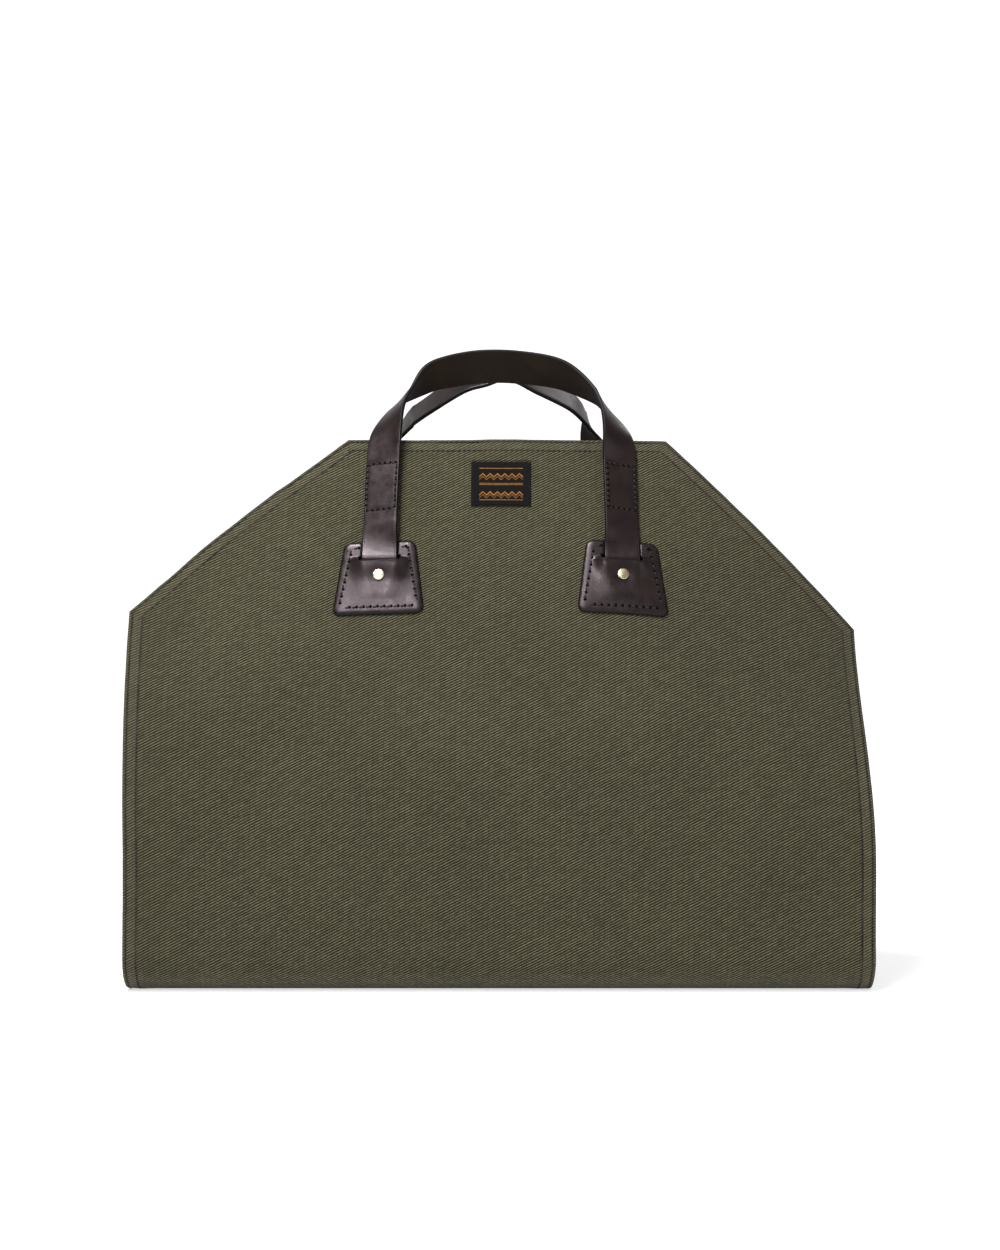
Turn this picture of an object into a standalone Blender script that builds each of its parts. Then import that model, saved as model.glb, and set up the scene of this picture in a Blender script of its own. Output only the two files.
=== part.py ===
"""Canvas log carrier: one hemmed sheet of heavy twill folded into a trough, with a leather
handle on each of its two upright panels.

Metres, +Z up. The origin is on the floor, under the middle of the base. The front panel,
which carries the woven label, faces -Y.
"""

import math

import bmesh
import bpy
from mathutils import Matrix, Vector
from mathutils.geometry import tessellate_polygon

# Cloth
CLOTH_WIDTH = 0.610
TOP_WIDTH = 0.2734
PANEL_HEIGHT = 0.4580
CORNER_HEIGHT = 0.3085
BASE_DEPTH = 0.300
TOP_GAP = 0.080
BACK_DROP = 0.012
FOLD_RADIUS = 0.030
BEND_START = 0.120
BEND_RADIUS = 0.300
CLOTH_THICKNESS = 0.0016
HEM_THICKNESS = 0.0032
HEM_WIDTH = 0.012
HEM_STEP = 0.0012
TOP_SHIFT = 0.0018
TOP_OFFSET = 0.0055
WING_START = 0.110
SLANT_BULGE = 0.0050
PANEL_BOW = 0.008
BOW_WIDTH = 0.125
BOW_START = 0.137
BOW_FULL = 0.320

# Leather patches
PATCH_BOTTOM_WIDTH = 0.077
PATCH_TOP_WIDTH = 0.060
PATCH_HEIGHT = 0.066
PATCH_BELOW_TOP = 0.0965
PATCH_CORNER_RADIUS = 0.007
PATCH_THICKNESS = 0.0030
SLOT_BELOW_PATCH_TOP = 0.0190
SLOT_WIDTH = 0.008
SLOT_SIDE_ROOM = 0.002
LIP_SLOPE = 0.0075

# Leather handles
STRAP_WIDTH = 0.030
STRAP_THICKNESS = 0.0036
STRAP_EDGE_ROUND = 0.0009
LEG_SPREAD = 0.1018
STRAP_TAIL = 0.0125
SEAM_BELOW_TOP = 0.0690
FREE_BELOW_TOP = 0.0270
LEAVING_EASE = 1.5
HANDLE_RISE = 0.0668
HANDLE_GAP = 0.028

# Rivets
RIVET_BELOW_SLOT = 0.0130
RIVET_HEAD_RADIUS = 0.0048
RIVET_HEAD_HEIGHT = 0.0017
RIVET_SHANK_RADIUS = 0.0016
WASHER_RADIUS = 0.0050
WASHER_THICKNESS = 0.0010

# Woven label
LABEL_WIDTH = 0.0512
LABEL_HEIGHT = 0.0415
LABEL_BELOW_TOP = 0.0222
LABEL_THICKNESS = 0.0008

CLEARANCE = 0.0003

# How far each outer wing of a panel moves at its corner: across, outwards and up.
WING_CURLS = {
    ("front", "left"): {"across": -0.0045, "out": 0.002, "up": 0.0020},
    ("front", "right"): {"across": -0.0055, "out": -0.028, "up": -0.0138},
    ("back", "left"): {"across": 0.0040, "out": -0.018, "up": -0.0060},
    ("back", "right"): {"across": 0.0030, "out": 0.008, "up": 0.0000},
}

# Long soft dents (minus) and swells (plus) of the panels. Across and height are shares of
# CLOTH_WIDTH and PANEL_HEIGHT, and so are the length and width of each.
DENTS = (
    {"panel": "front", "across": -0.36, "height": 0.31, "slant": 49, "length": 0.16, "width": 0.055, "depth": -0.0040},
    {"panel": "front", "across": 0.25, "height": 0.51, "slant": -60, "length": 0.15, "width": 0.055, "depth": 0.0030},
    {"panel": "front", "across": 0.35, "height": 0.64, "slant": -56, "length": 0.12, "width": 0.050, "depth": -0.0035},
    {"panel": "front", "across": -0.33, "height": 0.58, "slant": 20, "length": 0.16, "width": 0.060, "depth": 0.0025},
    {"panel": "back", "across": 0.30, "height": 0.34, "slant": -45, "length": 0.17, "width": 0.060, "depth": -0.0040},
    {"panel": "back", "across": -0.30, "height": 0.50, "slant": 58, "length": 0.15, "width": 0.055, "depth": 0.0030},
)

# Each half of a handle's loop, from the panel's top hem to its middle. Across is a share of
# LEG_SPREAD, rise of the loop's height, and inward of its way to the middle plane. Turn is
# the strap's twist in degrees: 0 is flat against the panel, 90 is edge-on.
LOOPS = {
    ("front", "left"): (
        {"across": 0.977, "rise": 0.000, "inward": 0.00, "turn": 22},
        {"across": 0.942, "rise": 0.184, "inward": 0.22, "turn": 42},
        {"across": 0.902, "rise": 0.390, "inward": 0.42, "turn": 64},
        {"across": 0.783, "rise": 0.599, "inward": 0.67, "turn": 89},
        {"across": 0.609, "rise": 0.835, "inward": 0.89, "turn": 130},
        {"across": 0.446, "rise": 0.923, "inward": 0.96, "turn": 149},
        {"across": 0.225, "rise": 0.986, "inward": 0.99, "turn": 157},
        {"across": 0.000, "rise": 1.000, "inward": 1.00, "turn": 156},
    ),
    ("front", "right"): (
        {"across": 0.987, "rise": 0.000, "inward": 0.00, "turn": 29},
        {"across": 0.962, "rise": 0.150, "inward": 0.22, "turn": 51},
        {"across": 0.904, "rise": 0.360, "inward": 0.42, "turn": 71},
        {"across": 0.793, "rise": 0.587, "inward": 0.67, "turn": 97},
        {"across": 0.593, "rise": 0.816, "inward": 0.89, "turn": 128},
        {"across": 0.435, "rise": 0.918, "inward": 0.96, "turn": 144},
        {"across": 0.223, "rise": 0.973, "inward": 0.99, "turn": 153},
        {"across": 0.000, "rise": 1.000, "inward": 1.00, "turn": 156},
    ),
    ("back", "left"): (
        {"across": 1.000, "rise": 0.000, "inward": 0.00, "turn": 56},
        {"across": 0.983, "rise": 0.140, "inward": 0.20, "turn": 82},
        {"across": 0.885, "rise": 0.303, "inward": 0.37, "turn": 98},
        {"across": 0.812, "rise": 0.432, "inward": 0.53, "turn": 110},
        {"across": 0.612, "rise": 0.611, "inward": 0.80, "turn": 118},
        {"across": 0.343, "rise": 0.838, "inward": 0.93, "turn": 125},
        {"across": 0.152, "rise": 0.930, "inward": 0.98, "turn": 132},
        {"across": 0.000, "rise": 1.000, "inward": 1.00, "turn": 134},
    ),
    ("back", "right"): (
        {"across": 0.886, "rise": 0.000, "inward": 0.00, "turn": 20},
        {"across": 0.818, "rise": 0.167, "inward": 0.24, "turn": 46},
        {"across": 0.782, "rise": 0.319, "inward": 0.38, "turn": 65},
        {"across": 0.754, "rise": 0.449, "inward": 0.53, "turn": 95},
        {"across": 0.620, "rise": 0.633, "inward": 0.80, "turn": 117},
        {"across": 0.332, "rise": 0.830, "inward": 0.93, "turn": 124},
        {"across": 0.160, "rise": 0.957, "inward": 0.98, "turn": 129},
        {"across": 0.000, "rise": 1.000, "inward": 1.00, "turn": 134},
    ),
}

PANELS = {"front": {"facing": 1, "drop": 0.0}, "back": {"facing": -1, "drop": BACK_DROP}}
SIDES = {"left": -1, "right": 1}

# How each side's patches were sewn on: turned a little, and lower or higher than the other.
PATCH_TURN = {"left": math.radians(2.4), "right": math.radians(-3.6)}

# Lift of the strap's middle off the cloth, where it lies on the cloth and where it lies
# on top of its patch.
STRAP_LOW = CLEARANCE + STRAP_THICKNESS / 2
STRAP_HIGH = 2 * CLEARANCE + PATCH_THICKNESS + STRAP_THICKNESS / 2
PATCH_SWELL = STRAP_THICKNESS + CLEARANCE
SLOT_BELOW_TOP = PATCH_BELOW_TOP + SLOT_BELOW_PATCH_TOP
RIVET_BELOW_TOP = SLOT_BELOW_TOP + RIVET_BELOW_SLOT
TAIL_BELOW_TOP = RIVET_BELOW_TOP + STRAP_TAIL

# The section through the middle: flat base, fold, upright, gentle bend, straight lean.
HALF_DEPTH = BASE_DEPTH / 2
HALF_WIDTH = CLOTH_WIDTH / 2
LEAN_DEPTH = HALF_DEPTH - TOP_GAP / 2
BEND_TO_TOP = PANEL_HEIGHT - BEND_START
LEAN_REACH = math.hypot(BEND_RADIUS - LEAN_DEPTH, BEND_TO_TOP)
LEAN = math.atan2(BEND_TO_TOP, BEND_RADIUS - LEAN_DEPTH) - math.acos(BEND_RADIUS / LEAN_REACH)
STRAIGHT_START = BEND_START + BEND_RADIUS * math.sin(LEAN)

BASE_END = HALF_DEPTH - FOLD_RADIUS
FOLD_END = BASE_END + FOLD_RADIUS * math.pi / 2
UPRIGHT_END = FOLD_END + BEND_START - FOLD_RADIUS
BEND_END = UPRIGHT_END + BEND_RADIUS * LEAN
FRONT_TOP = BEND_END + (PANEL_HEIGHT - STRAIGHT_START) / math.cos(LEAN)


def smoothstep(low, high, value):
    share = min(1.0, max(0.0, (value - low) / (high - low)))
    return share * share * (3 - 2 * share)


def panel_top(panel):
    """Length of cloth from the middle of the base to this panel's top hem."""
    return FRONT_TOP - PANELS[panel]["drop"] / math.cos(LEAN)


def section_point(length):
    """Depth, height and outward normal of the section, this far from the base's middle."""
    if length <= BASE_END:
        return length, 0.0, (0.0, -1.0)
    if length <= FOLD_END:
        angle = (length - BASE_END) / FOLD_RADIUS
        out = (math.sin(angle), -math.cos(angle))
        return BASE_END + FOLD_RADIUS * out[0], FOLD_RADIUS + FOLD_RADIUS * out[1], out
    if length <= UPRIGHT_END:
        return HALF_DEPTH, FOLD_RADIUS + length - FOLD_END, (1.0, 0.0)
    angle = min(length - UPRIGHT_END, BEND_END - UPRIGHT_END) / BEND_RADIUS
    out = (math.cos(angle), math.sin(angle))
    straight = max(0.0, length - BEND_END)
    depth = HALF_DEPTH - BEND_RADIUS * (1 - out[0]) - straight * math.sin(LEAN)
    height = BEND_START + BEND_RADIUS * out[1] + straight * math.cos(LEAN)
    return depth, height, out


def dent_depth(panel, across, height):
    total = 0.0
    for dent in DENTS:
        if dent["panel"] != panel:
            continue
        from_middle = across - dent["across"] * CLOTH_WIDTH
        above = height - dent["height"] * PANEL_HEIGHT
        slant = math.radians(dent["slant"])
        along = (from_middle * math.cos(slant) + above * math.sin(slant)) / (dent["length"] * CLOTH_WIDTH)
        beside = (above * math.cos(slant) - from_middle * math.sin(slant)) / (dent["width"] * CLOTH_WIDTH)
        total += dent["depth"] * math.exp(-along * along - beside * beside)
    return total * smoothstep(FOLD_RADIUS, 2 * FOLD_RADIUS, height)


def cloth_point(across, length, lift=0.0):
    """A point of the cloth's outer face, raised by lift. Length runs from the middle of the
    base, positive up the front panel and negative up the back one."""
    panel = "front" if length >= 0 else "back"
    facing = PANELS[panel]["facing"]
    side = "left" if across < 0 else "right"
    depth, height, (out_depth, out_height) = section_point(abs(length))
    lift += dent_depth(panel, across, height)
    wing = max(0.0, abs(across) - WING_START) / (HALF_WIDTH - WING_START)
    curl = wing * wing * smoothstep(0.3 * CORNER_HEIGHT, CORNER_HEIGHT, height)
    move = WING_CURLS[panel, side]
    shift = TOP_SHIFT * smoothstep(0.0, PANEL_HEIGHT, height)
    bow = PANEL_BOW * math.exp(-(across / BOW_WIDTH) ** 2) * smoothstep(BOW_START, BOW_FULL, height)
    return Vector((
        across + shift + move["across"] * curl,
        -facing * (depth + out_depth * lift + move["out"] * curl + bow),
        height + out_height * lift + move["up"] * curl,
    ))


def panel_point(panel, across, below_top, lift=0.0):
    """A point of a panel, given by its distance below the panel's top hem."""
    return cloth_point(across, PANELS[panel]["facing"] * (panel_top(panel) - below_top), lift)


def panel_normal(panel):
    """Outward normal of a panel's straight upper part."""
    return Vector((0.0, -PANELS[panel]["facing"] * math.cos(LEAN), math.sin(LEAN)))


# Shared tools

def new_collection(name):
    made = bpy.data.collections.new(name)
    bpy.context.scene.collection.children.link(made)
    return made


def make_material(name, colour, roughness, metallic=0.0):
    material = bpy.data.materials.new(name)
    material.use_nodes = True
    shader = material.node_tree.nodes["Principled BSDF"]
    shader.inputs["Base Color"].default_value = (*colour, 1.0)
    shader.inputs["Roughness"].default_value = roughness
    shader.inputs["Metallic"].default_value = metallic
    return material


def make_object(name, bm, collection, material):
    bmesh.ops.triangulate(bm, faces=[face for face in bm.faces if len(face.verts) > 4])
    mesh = bpy.data.meshes.new(name)
    bm.to_mesh(mesh)
    bm.free()
    mesh.materials.append(material)
    made = bpy.data.objects.new(name, mesh)
    collection.objects.link(made)
    return made


def cut_lines(bm, axis, places):
    """Cuts a flat pattern along lines that cross this axis at each of the places."""
    direction = Vector((0.0, 0.0, 0.0))
    direction[axis] = 1.0
    for place in places:
        everything = bm.verts[:] + bm.edges[:] + bm.faces[:]
        bmesh.ops.bisect_plane(bm, geom=everything, dist=1e-6, plane_co=direction * place, plane_no=direction)


def give_thickness(piece, thickness, offset):
    solidify = piece.modifiers.new("Thickness", "SOLIDIFY")
    solidify.thickness = thickness
    solidify.offset = offset
    solidify.use_even_offset = True
    solidify.use_quality_normals = True
    return solidify


def cut_with(piece, cutters):
    for cutter in cutters:
        boolean = piece.modifiers.new("Rivet hole", "BOOLEAN")
        boolean.operation = "DIFFERENCE"
        boolean.object = cutter


def spaced(start, end, step):
    """Evenly spaced values from start to end, no further apart than step."""
    count = max(1, math.ceil(abs(end - start) / step - 1e-6))
    return [start + (end - start) * index / count for index in range(count + 1)]


# Cloth

def pattern_corners():
    """The flat cut: an eight-sided sheet, given as across and length. Its front left slant
    is cut a little round."""
    corner = corner_length()
    front, back = panel_top("front"), panel_top("back")
    drop = front - back
    half_top = TOP_WIDTH / 2
    slant_top, slant_end = Vector((TOP_OFFSET - half_top, front)), Vector((-HALF_WIDTH, corner))
    along = (slant_end - slant_top).normalized()
    outward = Vector((along.y, -along.x)) * SLANT_BULGE
    return (
        (-half_top, -back), (half_top, -back), (HALF_WIDTH, drop - corner), (HALF_WIDTH, corner),
        (half_top + TOP_OFFSET, front), tuple(slant_top),
        tuple(slant_top.lerp(slant_end, 1 / 3) + outward),
        tuple(slant_top.lerp(slant_end, 2 / 3) + outward),
        tuple(slant_end), (-HALF_WIDTH, drop - corner),
    )


def corner_length():
    """Length of cloth from the middle of the base to the lower end of the cut-off corner."""
    return FRONT_TOP - (PANEL_HEIGHT - CORNER_HEIGHT) / math.cos(LEAN)


def distance_inside(across, length, corners):
    """Distance from a point of the flat cut to its nearest edge."""
    nearest = math.inf
    for index, start in enumerate(corners):
        end = corners[(index + 1) % len(corners)]
        along = Vector((end[0] - start[0], end[1] - start[1])).normalized()
        inward = Vector((-along.y, along.x))
        nearest = min(nearest, inward.dot(Vector((across - start[0], length - start[1]))))
    return nearest


def cloth_rows():
    """Lengths at which the sheet is cut for bending."""
    front = spaced(BASE_END, FOLD_END, FOLD_RADIUS * 0.30)
    front += spaced(FOLD_END, UPRIGHT_END, 0.030)[1:]
    front += spaced(UPRIGHT_END, BEND_END, 0.024)[1:]
    back = [-length for length in front]
    front += spaced(BEND_END, panel_top("front"), 0.038)[1:-1]
    back += [-length for length in spaced(BEND_END, panel_top("back"), 0.038)[1:-1]]
    return front + back


def make_cloth(collection, material, cutters):
    corners = pattern_corners()
    bm = bmesh.new()
    verts = [bm.verts.new((across, length, 0.0)) for across, length in corners]
    sheet = bmesh.ops.contextual_create(bm, geom=verts)["faces"][0]
    for band in (HEM_WIDTH, HEM_STEP):
        bmesh.ops.inset_region(bm, faces=[sheet], thickness=band, use_even_offset=True, use_boundary=True)
    cut_lines(bm, 1, cloth_rows())
    cut_lines(bm, 0, spaced(-HALF_WIDTH, HALF_WIDTH, 0.036)[1:-1])
    bm.normal_update()
    if bm.faces[:][0].normal.z < 0:
        bmesh.ops.reverse_faces(bm, faces=bm.faces[:])
    hemmed = []
    bm.verts.ensure_lookup_table()
    for vert in bm.verts:
        across, length = vert.co.x, vert.co.y
        if distance_inside(across, length, corners) < HEM_WIDTH + HEM_STEP / 2:
            hemmed.append(vert.index)
        vert.co = cloth_point(across, length)
    cloth = make_object("canvas_sheet", bm, collection, material)
    hem = cloth.vertex_groups.new(name="hem")
    hem.add(hemmed, 1.0, "REPLACE")
    solidify = give_thickness(cloth, HEM_THICKNESS, -1.0)
    solidify.vertex_group = "hem"
    solidify.thickness_vertex_group = CLOTH_THICKNESS / HEM_THICKNESS
    cut_with(cloth, cutters)
    return cloth


# Patches

def strap_across(panel, side, below_top):
    """Where a strap's middle line crosses this distance below the top hem. The two straps
    of a handle draw together above their patches."""
    above_slot = max(0.0, 1 - below_top / SLOT_BELOW_TOP)
    drawn_in = 1 - LOOPS[panel, side][0]["across"]
    return SIDES[side] * LEG_SPREAD * (1 - drawn_in * above_slot**2)


def patch_place(side, right, up):
    """Across and distance below the top hem, from the patch's own middle."""
    middle = PATCH_BELOW_TOP + PATCH_HEIGHT / 2
    rise = right * math.tan(PATCH_TURN[side])
    return SIDES[side] * LEG_SPREAD + right, middle - up - rise


def patch_lift(panel, side, across, below_top):
    """Height of the patch's underside: it swells over the end of the strap."""
    beside = abs(across - strap_across(panel, side, below_top))
    over = 1 - smoothstep(0.0, LIP_SLOPE, beside - STRAP_WIDTH / 2 - CLEARANCE)
    start = smoothstep(SLOT_BELOW_TOP - SLOT_WIDTH, SLOT_BELOW_TOP - 0.001, below_top)
    end = 1 - smoothstep(0.0, LIP_SLOPE, below_top - TAIL_BELOW_TOP - 0.001)
    return CLEARANCE + PATCH_SWELL * over * start * end


def make_patch(panel, side, collection, material, cutters):
    half_top, half_bottom = PATCH_TOP_WIDTH / 2, PATCH_BOTTOM_WIDTH / 2
    half_height = PATCH_HEIGHT / 2
    bm = bmesh.new()
    verts = [
        bm.verts.new((across, up, 0.0))
        for across, up in (
            (-half_bottom, -half_height), (half_bottom, -half_height),
            (half_top, half_height), (-half_top, half_height),
        )
    ]
    bmesh.ops.contextual_create(bm, geom=verts)
    bmesh.ops.bevel(
        bm, geom=bm.verts[:], affect="VERTICES", offset=PATCH_CORNER_RADIUS,
        segments=4, profile=0.5, material=-1,
    )
    slot_low = half_height - SLOT_BELOW_PATCH_TOP
    slot_high = slot_low + SLOT_WIDTH
    slot_half = STRAP_WIDTH / 2 + SLOT_SIDE_ROOM
    tail = half_height - (TAIL_BELOW_TOP - PATCH_BELOW_TOP)
    inside, outside = STRAP_WIDTH / 2 + CLEARANCE, STRAP_WIDTH / 2 + LIP_SLOPE
    half_way = (inside + outside) / 2
    cut_lines(bm, 0, [sign * place for sign in (-1, 1) for place in (inside, slot_half, half_way, outside)])
    cut_lines(bm, 0, spaced(-inside, inside, 0.011)[1:-1])
    cut_lines(bm, 1, spaced(slot_low, slot_high, 0.0028))
    cut_lines(bm, 1, spaced(tail - 0.001, tail - LIP_SLOPE, 0.0034))
    cut_lines(bm, 1, spaced(tail, slot_low, 0.008)[1:-1])
    opening = [
        face for face in bm.faces
        if abs(face.calc_center_median().x) < slot_half and slot_low < face.calc_center_median().y < slot_high
    ]
    bmesh.ops.delete(bm, geom=opening, context="FACES")
    bm.normal_update()
    facing = PANELS[panel]["facing"]
    if bm.faces[:][0].normal.z * facing < 0:
        bmesh.ops.reverse_faces(bm, faces=bm.faces[:])
    for vert in bm.verts:
        across, below_top = patch_place(side, vert.co.x, vert.co.y)
        lift = patch_lift(panel, side, across, below_top)
        vert.co = panel_point(panel, across, below_top, lift)
    patch = make_object(f"{panel}_{side}_patch", bm, collection, material)
    give_thickness(patch, PATCH_THICKNESS, 1.0)
    cut_with(patch, cutters)
    return patch


# Handles

def strap_lift(below_top):
    """Lift of the strap's middle: low under its patch, high over it, low again above it."""
    dive = smoothstep(SLOT_BELOW_TOP - SLOT_WIDTH + 0.001, SLOT_BELOW_TOP - 0.001, below_top)
    climb = smoothstep(SEAM_BELOW_TOP, PATCH_BELOW_TOP - 0.003, below_top)
    return STRAP_LOW + (STRAP_HIGH - STRAP_LOW) * min(climb, 1 - dive)


def leg_stations(panel, side):
    """The strap's middle line from its tail up to where it leaves the panel, as places, the
    way out from the panel, and turns about the strap's length."""
    places = spaced(TAIL_BELOW_TOP, SLOT_BELOW_TOP, 0.012)
    places += spaced(SLOT_BELOW_TOP, SLOT_BELOW_TOP - SLOT_WIDTH, 0.0014)[1:]
    places += spaced(SLOT_BELOW_TOP - SLOT_WIDTH, PATCH_BELOW_TOP - 0.003, 0.006)[1:]
    places += spaced(PATCH_BELOW_TOP - 0.003, SEAM_BELOW_TOP, 0.005)[1:]
    places += spaced(SEAM_BELOW_TOP, FREE_BELOW_TOP, 0.014)[1:]
    stations = []
    for place in places:
        middle = strap_across(panel, side, place)
        half = SIDES[side] * STRAP_WIDTH / 2
        inner, outer = panel_point(panel, middle - half, place), panel_point(panel, middle + half, place)
        tilt = math.asin((inner - outer).dot(panel_normal(panel)) / STRAP_WIDTH)
        on_panel = (inner + outer) / 2 + panel_normal(panel) * strap_lift(place)
        stations.append((on_panel, panel_normal(panel), tilt))
    return stations


def off_cloth(panel, side):
    """How far the strap's middle must stand off the cloth to turn freely beside the top hem."""
    return 0.56 * STRAP_WIDTH * math.sin(math.radians(LOOPS[panel, side][0]["turn"]))


def leaving_stations(panel, side):
    """The strap's way from the cloth to beside the top hem, turning and lifting as it goes."""
    stations = []
    for place in spaced(FREE_BELOW_TOP, 0.0, 0.007)[1:-1]:
        share = (1 - place / FREE_BELOW_TOP) ** LEAVING_EASE
        lift = STRAP_LOW + share * off_cloth(panel, side)
        point = panel_point(panel, strap_across(panel, side, place), place, lift)
        turn = math.radians(LOOPS[panel, side][0]["turn"]) * share
        stations.append((point, panel_normal(panel), turn))
    return stations


def loop_stations(panel, side):
    """Half of the free loop, from beside the top hem to its middle, in the same form."""
    hem = panel_point(panel, 0.0, 0.0)
    hem.yz = panel_point(panel, strap_across(panel, side, 0.0), 0.0, STRAP_LOW + off_cloth(panel, side)).yz
    middle_y = math.copysign(HANDLE_GAP / 2, hem.y)
    rise = PANEL_HEIGHT + HANDLE_RISE - hem.z
    level = Vector((0.0, -PANELS[panel]["facing"], 0.0))
    stations = []
    for row in LOOPS[panel, side]:
        place = Vector((
            hem.x + SIDES[side] * row["across"] * LEG_SPREAD,
            hem.y + (middle_y - hem.y) * row["inward"],
            hem.z + rise * row["rise"],
        ))
        out = panel_normal(panel).lerp(level, row["inward"])
        stations.append((place, out, math.radians(row["turn"])))
    return stations


def handle_stations(panel):
    """All stations of a handle, from the tail of its left leg to that of its right leg."""
    left, right = (
        leg_stations(panel, side) + leaving_stations(panel, side) + loop_stations(panel, side)
        for side in ("left", "right")
    )
    return left + right[-2::-1]


def eased(before, start, end, after, share):
    """A smooth curve from start to end that heeds its neighbours. It takes numbers or vectors."""
    return 0.5 * (
        2 * start
        + (end - before) * share
        + (2 * before - 5 * start + 4 * end - after) * share**2
        + (3 * start - before - 3 * end + after) * share**3
    )


def smooth_route(stations, step):
    """Stations filled in evenly along a smooth curve."""
    filled = []
    last = len(stations) - 1
    for index in range(last):
        around = [stations[min(last, max(0, near))] for near in range(index - 1, index + 3)]
        gap = (around[2][0] - around[1][0]).length
        count = max(1, round(gap / step))
        for part in range(count):
            filled.append(tuple(eased(*values, part / count) for values in zip(*around)))
    filled.append(stations[last])
    return filled


def across_strap(route, index, facing):
    """Unit vector across the strap at a station, from its outer edge to its inner one."""
    before, after = route[max(0, index - 1)][0], route[min(len(route) - 1, index + 1)][0]
    along = (after - before).normalized()
    _, out, turn = route[index]
    inward = along.cross(out).normalized() * facing
    forward = (inward.cross(along) * facing).normalized()
    return inward * math.cos(turn) + forward * math.sin(turn)


def make_handle(panel, collection, material, cutters):
    facing = PANELS[panel]["facing"]
    route = smooth_route(handle_stations(panel), 0.0070)
    bm = bmesh.new()
    bmesh.ops.create_grid(bm, x_segments=len(route) - 1, y_segments=1, size=0.5)
    for vert in bm.verts:
        index = round((vert.co.x + 0.5) * (len(route) - 1))
        side = vert.co.y * STRAP_WIDTH
        vert.co = route[index][0] + across_strap(route, index, facing) * side
    bmesh.ops.recalc_face_normals(bm, faces=bm.faces[:])
    handle = make_object(f"{panel}_handle", bm, collection, material)
    give_thickness(handle, STRAP_THICKNESS, 0.0)
    rounding = handle.modifiers.new("Edge rounding", "BEVEL")
    rounding.width = STRAP_EDGE_ROUND
    rounding.segments = 1
    rounding.limit_method = "ANGLE"
    rounding.angle_limit = math.radians(60)
    cut_with(handle, cutters)
    return handle


# Rivets and label

def rivet_matrix(panel, side):
    """Stands a rivet on the cloth's outer face, its local +Z outwards."""
    across = strap_across(panel, side, RIVET_BELOW_TOP)
    reach = RIVET_HEAD_RADIUS
    place = panel_point(panel, across, RIVET_BELOW_TOP)
    level = panel_point(panel, across + reach, RIVET_BELOW_TOP) - place
    down = panel_point(panel, across, RIVET_BELOW_TOP + reach) - place
    out = down.normalized().cross(level.normalized()) * PANELS[panel]["facing"]
    return Matrix.Translation(place) @ out.to_track_quat("Z", "Y").to_matrix().to_4x4()


def turned(name, profile, matrix, collection, material, steps):
    """A solid turned about local Z from an outline that runs from top to bottom."""
    bm = bmesh.new()
    verts = [bm.verts.new((radius, 0.0, height)) for radius, height in profile]
    for start, end in zip(verts, verts[1:]):
        bm.edges.new((start, end))
    made = make_object(name, bm, collection, material)
    made.matrix_world = matrix
    screw = made.modifiers.new("Turning", "SCREW")
    screw.steps = steps
    screw.render_steps = steps
    screw.use_merge_vertices = True
    screw.merge_threshold = 0.00001
    return made


def make_rivet(panel, side, collection, material):
    seat = CLEARANCE + PATCH_SWELL + PATCH_THICKNESS + CLEARANCE
    washer = -CLOTH_THICKNESS - CLEARANCE
    crown = seat + RIVET_HEAD_HEIGHT
    profile = [(0.0, crown)]
    for degrees in (30, 55, 75, 90):
        angle = math.radians(degrees)
        drop = RIVET_HEAD_HEIGHT * 0.7 * (1 - math.cos(angle))
        profile.append((RIVET_HEAD_RADIUS * math.sin(angle), crown - drop))
    profile += [
        (RIVET_HEAD_RADIUS, seat),
        (RIVET_SHANK_RADIUS, seat),
        (RIVET_SHANK_RADIUS, washer),
        (WASHER_RADIUS, washer),
        (WASHER_RADIUS, washer - WASHER_THICKNESS),
        (0.0, washer - WASHER_THICKNESS),
    ]
    return turned(f"{panel}_{side}_rivet", profile, rivet_matrix(panel, side), collection, material, 16)


def make_hole_cutter(panel, side, collection, material):
    radius = RIVET_SHANK_RADIUS + CLEARANCE
    reach = 2 * (PATCH_SWELL + PATCH_THICKNESS + HEM_THICKNESS)
    profile = [(0.0, reach), (radius, reach), (radius, -reach), (0.0, -reach)]
    cutter = turned(f"{panel}_{side}_hole", profile, rivet_matrix(panel, side), collection, material, 10)
    cutter.hide_render = True
    cutter.display_type = "WIRE"
    return cutter


def make_label(collection, material):
    bm = bmesh.new()
    bmesh.ops.create_grid(bm, x_segments=4, y_segments=2, size=0.5)
    for vert in bm.verts:
        below_top = LABEL_BELOW_TOP + (0.5 - vert.co.y) * LABEL_HEIGHT
        vert.co = panel_point("front", vert.co.x * LABEL_WIDTH, below_top, CLEARANCE)
    label = make_object("woven_label", bm, collection, material)
    give_thickness(label, LABEL_THICKNESS, 1.0)
    return label


def main():
    for old in list(bpy.data.objects):
        bpy.data.objects.remove(old)
    parts = new_collection("canvas_log_carrier")
    tools = new_collection("cutters")
    canvas = make_material("olive_twill", (0.092, 0.084, 0.052), 0.92)
    leather = make_material("brown_leather", (0.020, 0.012, 0.010), 0.38)
    brass = make_material("brass", (0.62, 0.50, 0.24), 0.28, 1.0)
    weave = make_material("black_label", (0.012, 0.012, 0.012), 0.85)
    cutters = {
        (panel, side): make_hole_cutter(panel, side, tools, brass)
        for panel in PANELS for side in SIDES
    }
    make_cloth(parts, canvas, cutters.values())
    make_label(parts, weave)
    for panel in PANELS:
        make_handle(panel, parts, leather, [cutters[panel, side] for side in SIDES])
        for side in SIDES:
            make_patch(panel, side, parts, leather, [cutters[panel, side]])
            make_rivet(panel, side, parts, brass)


main()
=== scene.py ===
"""Dresses the canvas log carrier: twill with a sewn hem, leather handles and patches, brass
rivets and a woven label. Metres, +Z up. The front panel, with the label, faces -Y."""

import math

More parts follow.
